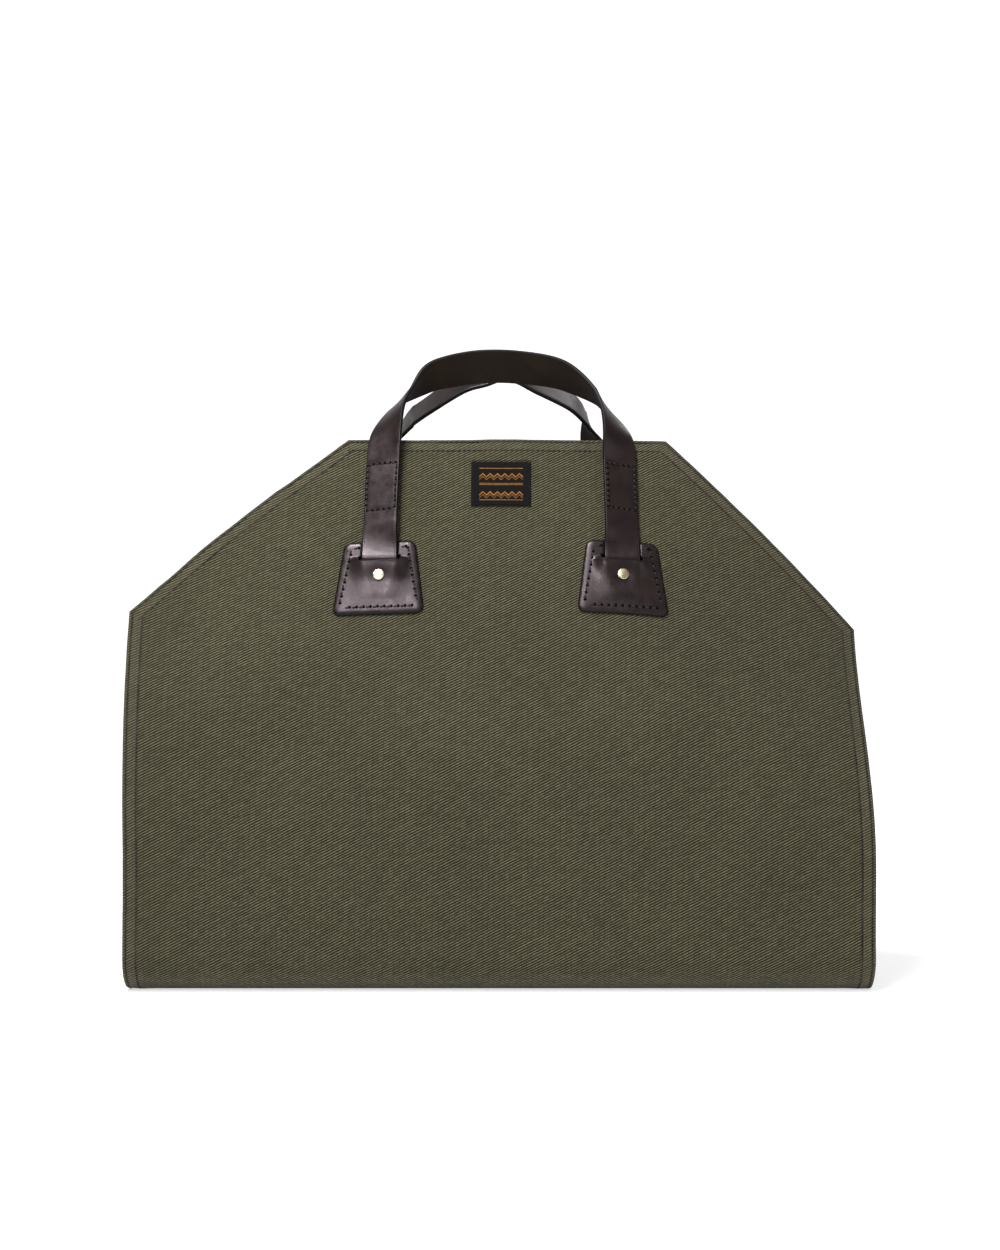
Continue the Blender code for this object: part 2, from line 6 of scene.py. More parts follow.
import bmesh
import bpy
from mathutils import Matrix, Vector, noise


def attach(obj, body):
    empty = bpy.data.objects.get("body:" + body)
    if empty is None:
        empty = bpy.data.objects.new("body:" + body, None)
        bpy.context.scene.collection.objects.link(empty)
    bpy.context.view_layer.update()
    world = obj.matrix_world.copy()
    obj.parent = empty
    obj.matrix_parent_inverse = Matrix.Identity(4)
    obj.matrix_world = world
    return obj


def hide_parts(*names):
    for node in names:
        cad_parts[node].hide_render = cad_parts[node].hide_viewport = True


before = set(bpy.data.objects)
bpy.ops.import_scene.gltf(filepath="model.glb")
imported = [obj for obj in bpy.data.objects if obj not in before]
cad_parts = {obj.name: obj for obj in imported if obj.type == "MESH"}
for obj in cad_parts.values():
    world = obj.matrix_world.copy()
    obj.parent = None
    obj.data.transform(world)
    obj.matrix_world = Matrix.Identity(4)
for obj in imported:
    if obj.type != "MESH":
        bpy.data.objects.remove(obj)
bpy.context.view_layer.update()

# Cloth
CLOTH_WIDTH = 0.610
TOP_WIDTH = 0.2734
PANEL_HEIGHT = 0.4580
CORNER_HEIGHT = 0.3085
BASE_DEPTH = 0.300
TOP_GAP = 0.080
BACK_DROP = 0.012
FOLD_RADIUS = 0.030
BEND_START = 0.120
BEND_RADIUS = 0.300
CLOTH_THICKNESS = 0.0016
HEM_THICKNESS = 0.0032
HEM_WIDTH = 0.012
HEM_STEP = 0.0012
TOP_SHIFT = 0.0018
TOP_OFFSET = 0.0055
WING_START = 0.110
SLANT_BULGE = 0.0050
PANEL_BOW = 0.008
BOW_WIDTH = 0.125
BOW_START = 0.137
BOW_FULL = 0.320
CLOTH_MESH = 0.006
CRUMPLE = 0.0024
FINE_CRUMPLE = 0.0005
HEM_RIPPLE = 0.0007
# Distances from one ring of cuts to the next, in from the edge of the flat cut
HEM_RINGS = (0.0004, 0.0009, 0.0017, 0.0030, 0.0030, 0.0030, 0.0012)

# Hem seams, as distances of the two rows from the edge. Each stitch is given by its length,
# width and height.
SEAM_ROWS = (0.0030, 0.0112)
SEAM_END_ROOM = 0.0016
HEM_PITCH = 0.0037
HEM_STITCH = (0.0029, 0.00062, 0.00056)

# Leather patches
PATCH_BOTTOM_WIDTH = 0.077
PATCH_TOP_WIDTH = 0.060
PATCH_HEIGHT = 0.066
PATCH_BELOW_TOP = 0.0965
PATCH_CORNER_RADIUS = 0.007
PATCH_THICKNESS = 0.0030
PATCH_EDGE = 0.0013
PATCH_BORDER = 0.0062
PATCH_BORDER_FALL = 0.0008
PATCH_GROOVE_WIDTH = 0.0012
SEAM_GROOVE = 0.00012
# Rings of cuts as in the cloth, and lines of cuts beside the slot
PATCH_RINGS = (0.0003, 0.0006, 0.0008, 0.0013, 0.0016, 0.0010, 0.0006, 0.0006, 0.0010)
SLOT_LIPS = (0.0, 0.0003, 0.0008, 0.0014)
PATCH_MESH = 0.0016
SLOT_BELOW_PATCH_TOP = 0.0190
SLOT_WIDTH = 0.0048
SLOT_SIDE_ROOM = 0.002
LIP_FALL = 0.0115
TAIL_FALL = 0.0150
SWELL_ROUND = 0.0080
LIP_RISE = 0.0030
LIP_SEATED = 0.004
LIP_REACH = 0.0221
PATCH_PRESSED = 0.0022
PRESSED_SLOPE = 0.0015
PRESSED_ROOM = 0.0005
PATCH_PITCH = 0.0060
PATCH_SEAM_TURN = 0.0035
PATCH_STITCH = (0.0041, 0.0018, 0.0012)
PATCH_STITCH_SLANT = 9

# Leather handles
STRAP_WIDTH = 0.030
STRAP_THICKNESS = 0.0036
STRAP_EDGE = 0.0012
BURNISHED_WIDTH = 0.0009
STRAP_MESH = 0.0018
# Steps of a leg's middle line: under the patch, through its slot, over its top, up the cloth
LEG_STEPS = (0.009, 0.0012, 0.005, 0.014)
LEG_SPREAD = 0.1018
STRAP_TAIL = 0.0125
STRAP_BULGE = 0.0036
BULGE_EASE = 2.2
DIVE_START = 0.0030
DIVE_END = 0.0070
PARE_START = 0.004
PARE_END = 0.002
LIP_PARED = 0.38
TAIL_PARED = 0.27
LEG_TWIST = 15.0
TWIST_FULL = 0.034
TWIST_START = 0.005
SEAM_BELOW_TOP = 0.0690
FREE_BELOW_TOP = 0.0270
LEAVING_EASE = 1.5
TURNING_ROOM = 0.56
SOFTEN_FROM = -0.034
SOFTEN_TO = 0.022
SOFTEN_PASSES = 60
HANDLE_RISE = 0.0668
HANDLE_GAP = 0.028
BOX_TOP = 0.0275
BOX_INSET = 0.0025
BOX_PITCH = 0.0050
BOX_GROOVE_WIDTH = 0.0008
BOX_STITCH = (0.0035, 0.0017, 0.0012)
BOX_STITCH_SLANT = 14
EDGE_LINE_INSET = 0.0016
EDGE_LINE_WIDTH = 0.0004

# Rivets
RIVET_BELOW_SLOT = 0.0130
RIVET_HEAD_RADIUS = 0.0048
RIVET_HEAD_HEIGHT = 0.0017
RIVET_HEAD_ROUND = 0.0006
RIVET_CROWN = 0.0004
RIVET_SHANK_RADIUS = 0.0016
RIVET_TAIL_RADIUS = 0.0022
WASHER_RADIUS = 0.0050
WASHER_THICKNESS = 0.0010
DIMPLE_RADIUS = 0.0075
DIMPLE_DEPTH = 0.0010

# Woven label
LABEL_WIDTH = 0.0512
LABEL_HEIGHT = 0.0415
LABEL_BELOW_TOP = 0.0222
LABEL_THICKNESS = 0.0008
LABEL_RIPPLE = 0.0002
LABEL_FOLD_WIDTH = 0.0032
LABEL_FOLD_HEIGHT = 0.0003
LABEL_EDGE = 0.0006
LABEL_THREAD = 0.00042
LABEL_STITCH = (0.0021, 0.0005, 0.0005)
OVERCAST_PITCH = 0.0012
LABEL_SEAM_INSET = 0.0016
LABEL_SEAM_PITCH = 0.0028

# Twill
FLOAT_LENGTH = 0.0045
FLOAT_PITCH = 0.0023
SEAM_SHADE_WIDTH = 0.0008

CLEARANCE = 0.0003

# Stage and camera
FLOOR_HALF_WIDTH = 6.0
FLOOR_FRONT = -5.0
BACKDROP_START = 2.0
BACKDROP_RADIUS = 1.5
BACKDROP_TOP = 6.0
CAMERA_PLACE = (0.0008, -1.800, 0.2985)
CAMERA_LENS = 58.8

# How far each outer wing of a panel moves at its corner: across, outwards and up.
WING_CURLS = {
    ("front", "left"): {"across": -0.0045, "out": 0.002, "up": 0.0020},
    ("front", "right"): {"across": -0.0055, "out": -0.028, "up": -0.0138},
    ("back", "left"): {"across": 0.0040, "out": -0.018, "up": -0.0060},
    ("back", "right"): {"across": 0.0030, "out": 0.008, "up": 0.0000},
}

# Long soft dents (minus) and swells (plus) of the panels. Across and height are shares of
# CLOTH_WIDTH and PANEL_HEIGHT, and so are the length and width of each.
DENTS = (
    {"panel": "front", "across": -0.36, "height": 0.31, "slant": 49,
     "length": 0.16, "width": 0.055, "depth": -0.0040},
    {"panel": "front", "across": 0.25, "height": 0.51, "slant": -60,
     "length": 0.15, "width": 0.055, "depth": 0.0030},
    {"panel": "front", "across": 0.35, "height": 0.64, "slant": -56,
     "length": 0.12, "width": 0.050, "depth": -0.0035},
    {"panel": "front", "across": -0.33, "height": 0.58, "slant": 20,
     "length": 0.16, "width": 0.060, "depth": 0.0025},
    {"panel": "back", "across": 0.30, "height": 0.34, "slant": -45,
     "length": 0.17, "width": 0.060, "depth": -0.0040},
    {"panel": "back", "across": -0.30, "height": 0.50, "slant": 58,
     "length": 0.15, "width": 0.055, "depth": 0.0030},
)

# Each half of a handle's loop, from the panel's top hem to its middle. Across is a share of
# LEG_SPREAD, rise of the loop's height, and inward of its way to the middle plane. Turn is
# the strap's twist in degrees: 0 is flat against the panel, 90 is edge-on.
LOOPS = {
    ("front", "left"): (
        {"across": 0.977, "rise": 0.000, "inward": 0.00, "turn": 22},
        {"across": 0.942, "rise": 0.184, "inward": 0.22, "turn": 42},
        {"across": 0.902, "rise": 0.390, "inward": 0.42, "turn": 64},
        {"across": 0.783, "rise": 0.599, "inward": 0.67, "turn": 89},
        {"across": 0.609, "rise": 0.835, "inward": 0.89, "turn": 130},
        {"across": 0.446, "rise": 0.923, "inward": 0.96, "turn": 149},
        {"across": 0.225, "rise": 0.986, "inward": 0.99, "turn": 157},
        {"across": 0.000, "rise": 1.000, "inward": 1.00, "turn": 156},
    ),
    ("front", "right"): (
        {"across": 0.987, "rise": 0.000, "inward": 0.00, "turn": 29},
        {"across": 0.962, "rise": 0.150, "inward": 0.22, "turn": 51},
        {"across": 0.904, "rise": 0.360, "inward": 0.42, "turn": 71},
        {"across": 0.793, "rise": 0.587, "inward": 0.67, "turn": 97},
        {"across": 0.593, "rise": 0.816, "inward": 0.89, "turn": 128},
        {"across": 0.435, "rise": 0.918, "inward": 0.96, "turn": 144},
        {"across": 0.223, "rise": 0.973, "inward": 0.99, "turn": 153},
        {"across": 0.000, "rise": 1.000, "inward": 1.00, "turn": 156},
    ),
    ("back", "left"): (
        {"across": 1.000, "rise": 0.000, "inward": 0.00, "turn": 56},
        {"across": 0.983, "rise": 0.140, "inward": 0.20, "turn": 82},
        {"across": 0.885, "rise": 0.303, "inward": 0.37, "turn": 98},
        {"across": 0.812, "rise": 0.432, "inward": 0.53, "turn": 110},
        {"across": 0.612, "rise": 0.611, "inward": 0.80, "turn": 118},
        {"across": 0.343, "rise": 0.838, "inward": 0.93, "turn": 125},
        {"across": 0.152, "rise": 0.930, "inward": 0.98, "turn": 132},
        {"across": 0.000, "rise": 1.000, "inward": 1.00, "turn": 134},
    ),
    ("back", "right"): (
        {"across": 0.886, "rise": 0.000, "inward": 0.00, "turn": 20},
        {"across": 0.818, "rise": 0.167, "inward": 0.24, "turn": 46},
        {"across": 0.782, "rise": 0.319, "inward": 0.38, "turn": 65},
        {"across": 0.754, "rise": 0.449, "inward": 0.53, "turn": 95},
        {"across": 0.620, "rise": 0.633, "inward": 0.80, "turn": 117},
        {"across": 0.332, "rise": 0.830, "inward": 0.93, "turn": 124},
        {"across": 0.160, "rise": 0.957, "inward": 0.98, "turn": 129},
        {"across": 0.000, "rise": 1.000, "inward": 1.00, "turn": 134},
    ),
}

PANELS = {"front": {"facing": 1, "drop": 0.0}, "back": {"facing": -1, "drop": BACK_DROP}}
SIDES = {"left": -1, "right": 1}
PATCH_TURN = {"left": math.radians(2.4), "right": math.radians(-3.6)}

STRAP_LOW = CLEARANCE + STRAP_THICKNESS / 2
PATCH_SWELL = STRAP_THICKNESS + CLEARANCE
SLOT_BELOW_TOP = PATCH_BELOW_TOP + SLOT_BELOW_PATCH_TOP
RIVET_BELOW_TOP = SLOT_BELOW_TOP + RIVET_BELOW_SLOT
TAIL_BELOW_TOP = RIVET_BELOW_TOP + STRAP_TAIL

# The section through the middle: flat base, fold, upright, gentle bend, straight lean.
HALF_DEPTH = BASE_DEPTH / 2
HALF_WIDTH = CLOTH_WIDTH / 2
LEAN_DEPTH = HALF_DEPTH - TOP_GAP / 2
BEND_TO_TOP = PANEL_HEIGHT - BEND_START
LEAN_REACH = math.hypot(BEND_RADIUS - LEAN_DEPTH, BEND_TO_TOP)
LEAN = math.atan2(BEND_TO_TOP, BEND_RADIUS - LEAN_DEPTH) - math.acos(BEND_RADIUS / LEAN_REACH)
STRAIGHT_START = BEND_START + BEND_RADIUS * math.sin(LEAN)

BASE_END = HALF_DEPTH - FOLD_RADIUS
FOLD_END = BASE_END + FOLD_RADIUS * math.pi / 2
UPRIGHT_END = FOLD_END + BEND_START - FOLD_RADIUS
BEND_END = UPRIGHT_END + BEND_RADIUS * LEAN
FRONT_TOP = BEND_END + (PANEL_HEIGHT - STRAIGHT_START) / math.cos(LEAN)


def smoothstep(low, high, value):
    share = min(1.0, max(0.0, (value - low) / (high - low)))
    return share * share * (3 - 2 * share)


def panel_top(panel):
    """Length of cloth from the middle of the base to this panel's top hem."""
    return FRONT_TOP - PANELS[panel]["drop"] / math.cos(LEAN)


def section_point(length):
    """Depth, height and outward normal of the section, this far from the base's middle."""
    if length <= BASE_END:
        return length, 0.0, (0.0, -1.0)
    if length <= FOLD_END:
        angle = (length - BASE_END) / FOLD_RADIUS
        out = (math.sin(angle), -math.cos(angle))
        return BASE_END + FOLD_RADIUS * out[0], FOLD_RADIUS + FOLD_RADIUS * out[1], out
    if length <= UPRIGHT_END:
        return HALF_DEPTH, FOLD_RADIUS + length - FOLD_END, (1.0, 0.0)
    angle = min(length - UPRIGHT_END, BEND_END - UPRIGHT_END) / BEND_RADIUS
    out = (math.cos(angle), math.sin(angle))
    straight = max(0.0, length - BEND_END)
    depth = HALF_DEPTH - BEND_RADIUS * (1 - out[0]) - straight * math.sin(LEAN)
    height = BEND_START + BEND_RADIUS * out[1] + straight * math.cos(LEAN)
    return depth, height, out


def dent_depth(panel, across, height):
    total = 0.0
    for dent in DENTS:
        if dent["panel"] != panel:
            continue
        from_middle = across - dent["across"] * CLOTH_WIDTH
        above = height - dent["height"] * PANEL_HEIGHT
        slant = math.radians(dent["slant"])
        along = (from_middle * math.cos(slant) + above * math.sin(slant)) / (dent["length"] * CLOTH_WIDTH)
        beside = (above * math.cos(slant) - from_middle * math.sin(slant)) / (dent["width"] * CLOTH_WIDTH)
        total += dent["depth"] * math.exp(-along * along - beside * beside)
    return total * smoothstep(FOLD_RADIUS, 2 * FOLD_RADIUS, height)


def crumple(across, length, height):
    """The small unevenness of worn cloth, none where it lies on the floor."""
    broad = noise.noise(Vector((across * 11, length * 9, 2.7)))
    small = noise.noise(Vector((across * 34, length * 28, 7.3)))
    off_floor = smoothstep(0.3 * FOLD_RADIUS, 2 * FOLD_RADIUS, height)
    return (CRUMPLE * broad + FINE_CRUMPLE * small) * off_floor


def cloth_point(across, length, lift=0.0):
    """A point of the cloth's outer face, raised by lift. Length runs from the middle of the
    base, positive up the front panel and negative up the back one."""
    panel = "front" if length >= 0 else "back"
    facing = PANELS[panel]["facing"]
    side = "left" if across < 0 else "right"
    depth, height, (out_depth, out_height) = section_point(abs(length))
    lift += dent_depth(panel, across, height) + crumple(across, length, height)
    wing = max(0.0, abs(across) - WING_START) / (HALF_WIDTH - WING_START)
    curl = wing * wing * smoothstep(0.3 * CORNER_HEIGHT, CORNER_HEIGHT, height)
    move = WING_CURLS[panel, side]
    shift = TOP_SHIFT * smoothstep(0.0, PANEL_HEIGHT, height)
    bow = PANEL_BOW * math.exp(-(across / BOW_WIDTH) ** 2) * smoothstep(BOW_START, BOW_FULL, height)
    return Vector((
        across + shift + move["across"] * curl,
        -facing * (depth + out_depth * lift + move["out"] * curl + bow),
        height + out_height * lift + move["up"] * curl,
    ))


def panel_point(panel, across, below_top, lift=0.0):
    """A point of a panel, given by its distance below the panel's top hem."""
    return cloth_point(across, PANELS[panel]["facing"] * (panel_top(panel) - below_top), lift)


def panel_normal(panel):
    """Outward normal of a panel's straight upper part."""
    return Vector((0.0, -PANELS[panel]["facing"] * math.cos(LEAN), math.sin(LEAN)))


# Shared tools

def add_piece(name, bm, finishes, stands_for=()):
    """Makes a piece of the carrier, which rides on its one body."""
    mesh = bpy.data.meshes.new(name)
    bm.to_mesh(mesh)
    bm.free()
    for finish in finishes:
        mesh.materials.append(finish)
    mesh.shade_smooth()
    made = bpy.data.objects.new(name, mesh)
    bpy.context.scene.collection.objects.link(made)
    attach(made, "root")
    if stands_for:
        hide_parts(*stands_for)
    return made


def cut_lines(bm, axis, places):
    """Cuts a flat pattern along lines that cross this axis at each of the places."""
    direction = Vector((0.0, 0.0, 0.0))
    direction[axis] = 1.0
    for place in places:
        everything = bm.verts[:] + bm.edges[:] + bm.faces[:]
        bmesh.ops.bisect_plane(
            bm, geom=everything, dist=1e-6, plane_co=direction * place, plane_no=direction,
        )


def spaced(start, end, step):
    """Evenly spaced values from start to end, no further apart than step."""
    count = max(1, math.ceil(abs(end - start) / step - 1e-6))
    return [start + (end - start) * index / count for index in range(count + 1)]


def map_flat(bm, name, place=None):
    """Gives each corner of each face its place on the flat pattern, in metres."""
    layer = bm.loops.layers.uv.new(name)
    for face in bm.faces:
        for loop in face.loops:
            loop[layer].uv = loop.vert.co.xy if place is None else place(face, loop.vert.co)


def give_body(bm, place):
    """Turns a flat pattern into a closed piece. Place gives each point of its two faces."""
    under = bm.verts[:]
    raised = bmesh.ops.extrude_face_region(bm, geom=bm.faces[:])["geom"]
    upper = [vert for vert in raised if isinstance(vert, bmesh.types.BMVert)]
    for vert in under:
        vert.co = place(vert.co, False)
    for vert in upper:
        vert.co = place(vert.co, True)
    bmesh.ops.recalc_face_normals(bm, faces=bm.faces[:])
    if bm.calc_volume(signed=True) < 0:
        bmesh.ops.reverse_faces(bm, faces=bm.faces[:])


def rounding(distance, radius):
    """How far a face drops towards an edge of this radius."""
    inside = max(0.0, radius - distance)
    return radius - math.sqrt(max(0.0, radius * radius - inside * inside))


def groove(distance, width):
    return math.exp(-(distance / width) ** 2)


def make_stitch(length, width, height):
    """One stitch along X, fuller than an egg, with a dark blob at its end: painted shade of a needle hole.
    """
    bm = bmesh.new()
    bmesh.ops.create_uvsphere(bm, u_segments=6, v_segments=6, radius=0.5)
    for vert in bm.verts:
        full = 1.12 if abs(vert.co.z) < 0.4 else 0.9
        vert.co = Vector((vert.co.z * length, vert.co.x * full * width, vert.co.y * full * height))
    bmesh.ops.recalc_face_normals(bm, faces=bm.faces[:])
    hole_shade = bmesh.ops.create_icosphere(bm, subdivisions=1, radius=0.5)["verts"]
    shrink = Matrix.Diagonal((width * 1.5, width * 1.9, height * 0.75, 1.0))
    bmesh.ops.transform(bm, matrix=Matrix.Translation((length * 0.58, 0.0, 0.0)) @ shrink, verts=hole_shade)
    # The blob takes the second finish, the painted shade of the needle hole.
    for face in {face for vert in hole_shade for face in vert.link_faces}:
        face.material_index = 1
    mesh = bpy.data.meshes.new("stitch")
    bm.to_mesh(mesh)
    bm.free()
    return mesh


def sew(bm, stitch, places):
    """Puts a copy of one stitch at each of the places, which are matrices."""
    for place in places:
        copy = stitch.copy()
        copy.transform(place)
        bm.from_mesh(copy)
        bpy.data.meshes.remove(copy)


def frame_from(place, along, beside, slant=0.0):
    """A matrix at a place: X along, Z out of the surface, turned by slant about Z."""
    out = along.cross(beside).normalized()
    along = along.normalized()
    turned = Matrix((along, out.cross(along), out)).transposed().to_4x4()
    return Matrix.Translation(place) @ turned @ Matrix.Rotation(slant, 4, "Z")


def row_places(start, end, pitch):
    """Middles of the stitches of one straight row on a flat pattern, and its direction."""
    run = end - start
    count = max(1, round(run.length / pitch))
    direction = run.normalized()
    return [(start + run * ((index + 0.5) / count), direction) for index in range(count)]


# Finishes

class Finish:
    """A material whose nodes are added in one line each."""

    def __init__(self, name, roughness=0.5, metallic=0.0, sheen=0.0, specular=0.5):
        self.material = bpy.data.materials.new(name)
        self.material.use_nodes = True
        self.tree = self.material.node_tree
        self.shader = self.tree.nodes["Principled BSDF"]
        self.shader.inputs["Roughness"].default_value = roughness
        self.shader.inputs["Metallic"].default_value = metallic
        self.shader.inputs["Sheen Weight"].default_value = sheen
        self.shader.inputs["Specular IOR Level"].default_value = specular

    def add(self, kind, **values):
        """Adds a node. Values whose names match its inputs are set or linked, and the rest
        are settings."""
        made = self.tree.nodes.new(kind)
        for name, value in values.items():
            if name in made.inputs:
                self.join(value, made.inputs[name])
            else:
                setattr(made, name, value)
        return made

    def join(self, value, socket):
        if isinstance(value, bpy.types.NodeSocket):
            self.tree.links.new(value, socket)
        else:
            socket.default_value = value

    def sum(self, operation, *values):
        made = self.tree.nodes.new("ShaderNodeMath")
        made.operation = operation
        for index, value in enumerate(values):
            self.join(value, made.inputs[index])
        return made.outputs[0]

    def mix(self, share, first, second, blend="MIX"):
        made = self.tree.nodes.new("ShaderNodeMix")
        made.data_type = "RGBA"
        made.blend_type = blend
        self.join(share, made.inputs[0])
        self.join(first, made.inputs[6])
        self.join(second, made.inputs[7])
        return made.outputs[2]

    def stretch(self, value, low, high, new_low, new_high, smooth=False):
        made = self.tree.nodes.new("ShaderNodeMapRange")
        made.interpolation_type = "SMOOTHSTEP" if smooth else "LINEAR"
        for index, item in enumerate((value, low, high, new_low, new_high)):
            self.join(item, made.inputs[index])
        return made.outputs[0]

    def place(self):
        return self.add("ShaderNodeTexCoord").outputs["Object"]

    def flat(self, name):
        """Across and length on the flat pattern."""
        pattern = self.add("ShaderNodeUVMap", uv_map=name).outputs[0]
        split = self.add("ShaderNodeSeparateXYZ", Vector=pattern)
        return split.outputs[0], split.outputs[1]

    def vector(self, across, along, third=0.0):
        return self.add("ShaderNodeCombineXYZ", X=across, Y=along, Z=third).outputs[0]

    def noise(self, vector, scale, detail=2.0, roughness=0.5):
        made = self.add("ShaderNodeTexNoise", Vector=vector, Scale=scale, Detail=detail, Roughness=roughness)
        return made.outputs[0]

    def bump(self, height, distance, strength=1.0, normal=None):
        made = self.add("ShaderNodeBump", Height=height, Distance=distance, Strength=strength)
        if normal is not None:
            self.join(normal, made.inputs["Normal"])
        return made.outputs[0]

    def done(self, colour, normal=None, roughness=None):
        self.join(colour, self.shader.inputs["Base Color"])
        if normal is not None:
            self.join(normal, self.shader.inputs["Normal"])
        if roughness is not None:
            self.join(roughness, self.shader.inputs["Roughness"])
        return self.material


def twill_floats(finish):
    """Height of the twill's short floats, which step up to the right in slanting ridges, and
    a chance value for each of them."""
    across, length = finish.flat("weave")
    sway = finish.sum("MULTIPLY", finish.noise(finish.place(), 70.0), 0.0008)
    columns = finish.sum("DIVIDE", across, FLOAT_LENGTH)
    rows = finish.sum("DIVIDE", finish.sum("ADD", length, sway), FLOAT_PITCH)
    ridges = finish.sum("SUBTRACT", columns, rows)
    column, ridge = finish.sum("FLOOR", columns), finish.sum("FLOOR", ridges)
    along = finish.sum("SUBTRACT", finish.sum("SUBTRACT", columns, column), 0.5)
    beside = finish.sum("SUBTRACT", finish.sum("SUBTRACT", ridges, ridge), 0.5)
    ends = finish.sum("POWER", finish.sum("ABSOLUTE", finish.sum("MULTIPLY", along, 2.0)), 5.0)
    flanks = finish.sum("POWER", finish.sum("ABSOLUTE", finish.sum("MULTIPLY", beside, 2.9)), 2.0)
    lengthwise = finish.sum("MULTIPLY_ADD", ends, -0.30, 1.0)
    crosswise = finish.sum("MAXIMUM", finish.sum("SUBTRACT", 1.0, flanks), 0.0)
    height = finish.sum("MULTIPLY", lengthwise, crosswise)
    float_place = finish.vector(column, ridge)
    chance = finish.add("ShaderNodeTexWhiteNoise", Vector=float_place, noise_dimensions="2D").outputs[0]
    return height, chance


def seam_marks(finish):
    """How near the surface is to a hem seam, where painted shade darkens the cloth, the hem's puckers, and
    how far it is in the hem.
    """
    along, inward = finish.flat("hem")
    wave = finish.sum("SINE", finish.sum("MULTIPLY", along, 2 * math.pi / HEM_PITCH))
    near = 0.0
    for row in SEAM_ROWS:
        off = finish.sum("DIVIDE", finish.sum("SUBTRACT", inward, row), SEAM_SHADE_WIDTH)
        square = finish.sum("MULTIPLY", off, off)
        near = finish.sum("ADD", near, finish.sum("EXPONENT", finish.sum("MULTIPLY", square, -1.0)))
    pucker = finish.sum("MULTIPLY", near, finish.sum("MULTIPLY_ADD", wave, 0.25, -0.75))
    hemmed = finish.stretch(inward, HEM_WIDTH - 0.001, HEM_WIDTH + 0.001, 1.0, 0.0)
    return near, pucker, hemmed


def twill_finish():
    finish = Finish("olive_twill", roughness=0.9, sheen=0.12, specular=0.25)
    height, chance = twill_floats(finish)
    near, pucker, hemmed = seam_marks(finish)
    place = finish.place()
    yarn = finish.mix(chance, (0.108, 0.098, 0.051, 1), (0.158, 0.144, 0.079, 1))
    # Near-black between and beside the floats: painted shade in the weave's grooves.
    colour = finish.mix(height, (0.005, 0.0045, 0.0025, 1), yarn)
    broad = finish.stretch(finish.noise(place, 9.0, 3.0, 0.55), 0.3, 0.7, 0.92, 1.08)
    colour = finish.mix(1.0, colour, finish.vector(broad, broad, broad), "MULTIPLY")
    heather = finish.stretch(finish.noise(place, 260.0, 2.0), 0.3, 0.7, 0.91, 1.09)
    colour = finish.mix(1.0, colour, finish.vector(heather, heather, heather), "MULTIPLY")
    colour = finish.mix(finish.sum("MULTIPLY", hemmed, 0.06), colour, (0.30, 0.26, 0.20, 1))
    # Dark lines along the two seam rows: painted shade of the seam grooves.
    colour = finish.mix(finish.sum("MULTIPLY", near, 0.68), colour, (0.008, 0.0065, 0.0045, 1))
    fuzz = finish.noise(place, 1400.0, 2.0)
    weave = finish.bump(finish.sum("MULTIPLY_ADD", fuzz, 0.25, height), 0.0004, 0.75)
    return finish.done(colour, finish.bump(pucker, 0.0006, 0.8, weave))


def grain_finish(name, dark, warm, roughness):
    """Smooth dark leather: pores, fine wrinkles and a soft uneven shine."""
    finish = Finish(name, roughness=roughness, specular=0.55)
    finish.shader.inputs["Specular Tint"].default_value = (1.0, 0.85, 0.91, 1.0)
    place = finish.place()
    cloudy = finish.noise(place, 38.0, 4.0, 0.6)
    colour = finish.mix(finish.stretch(cloudy, 0.35, 0.7, 0.0, 1.0), dark, warm)
    pores = finish.add("ShaderNodeTexVoronoi", Vector=place, Scale=1150.0, Randomness=1.0).outputs[0]
    wrinkles = finish.noise(place, 210.0, 5.0, 0.62)
    height = finish.sum("MULTIPLY_ADD", pores, 0.35, wrinkles)
    handled = finish.noise(place, 120.0, 4.0, 0.6)
    shine = finish.stretch(handled, 0.3, 0.7, roughness - 0.05, roughness + 0.09)
    soft = finish.bump(finish.noise(place, 45.0, 2.0), 0.0006, 0.25)
    return finish.done(colour, finish.bump(height, 0.00016, 0.6, soft), shine)


def edge_finish():
    """The burnished cut edge of leather."""
    finish = Finish("burnished_edge", roughness=0.5, specular=0.25)
    place = finish.place()
    fibres = finish.noise(place, 700.0, 3.0)
    worn = finish.stretch(fibres, 0.4, 0.7, 0.0, 0.6)
    colour = finish.mix(worn, (0.003, 0.002, 0.002, 1), (0.010, 0.006, 0.004, 1))
    return finish.done(colour, finish.bump(fibres, 0.0001, 0.6))


def flesh_finish():
    """The rough underside of leather."""
    finish = Finish("flesh_side", roughness=0.82, sheen=0.02, specular=0.2)
    place = finish.place()
    fibres = finish.noise(place, 420.0, 6.0, 0.7)
    cloudy = finish.noise(place, 45.0, 3.0)
    colour = finish.mix(fibres, (0.004, 0.0028, 0.0018, 1), (0.017, 0.010, 0.0055, 1))
    colour = finish.mix(finish.stretch(cloudy, 0.4, 0.7, 0.0, 0.5), colour, (0.023, 0.012, 0.005, 1))
    return finish.done(colour, finish.bump(fibres, 0.0003, 0.8))


def thread_finish(name, dark, light):
    """Waxed thread, with painted shade between its plies."""
    finish = Finish(name, roughness=0.6, specular=0.4)
    place = finish.place()
    plies = finish.noise(place, 1900.0, 2.0)
    # Darker where the plies sink, lighter on their tops: painted shade.
    colour = finish.mix(finish.stretch(plies, 0.35, 0.65, 0.0, 1.0), dark, light)
    return finish.done(colour, finish.bump(plies, 0.0001, 0.7))


# Near-black finish for the blobs at the stitches' ends: painted shade of the needle holes.
def hole_shade_finish():
    finish = Finish("needle_hole_shade", roughness=1.0, specular=0.1)
    specks = finish.noise(finish.place(), 1500.0, 1.0)
    return finish.done(finish.mix(specks, (0.0015, 0.0012, 0.001, 1), (0.006, 0.004, 0.003, 1)))


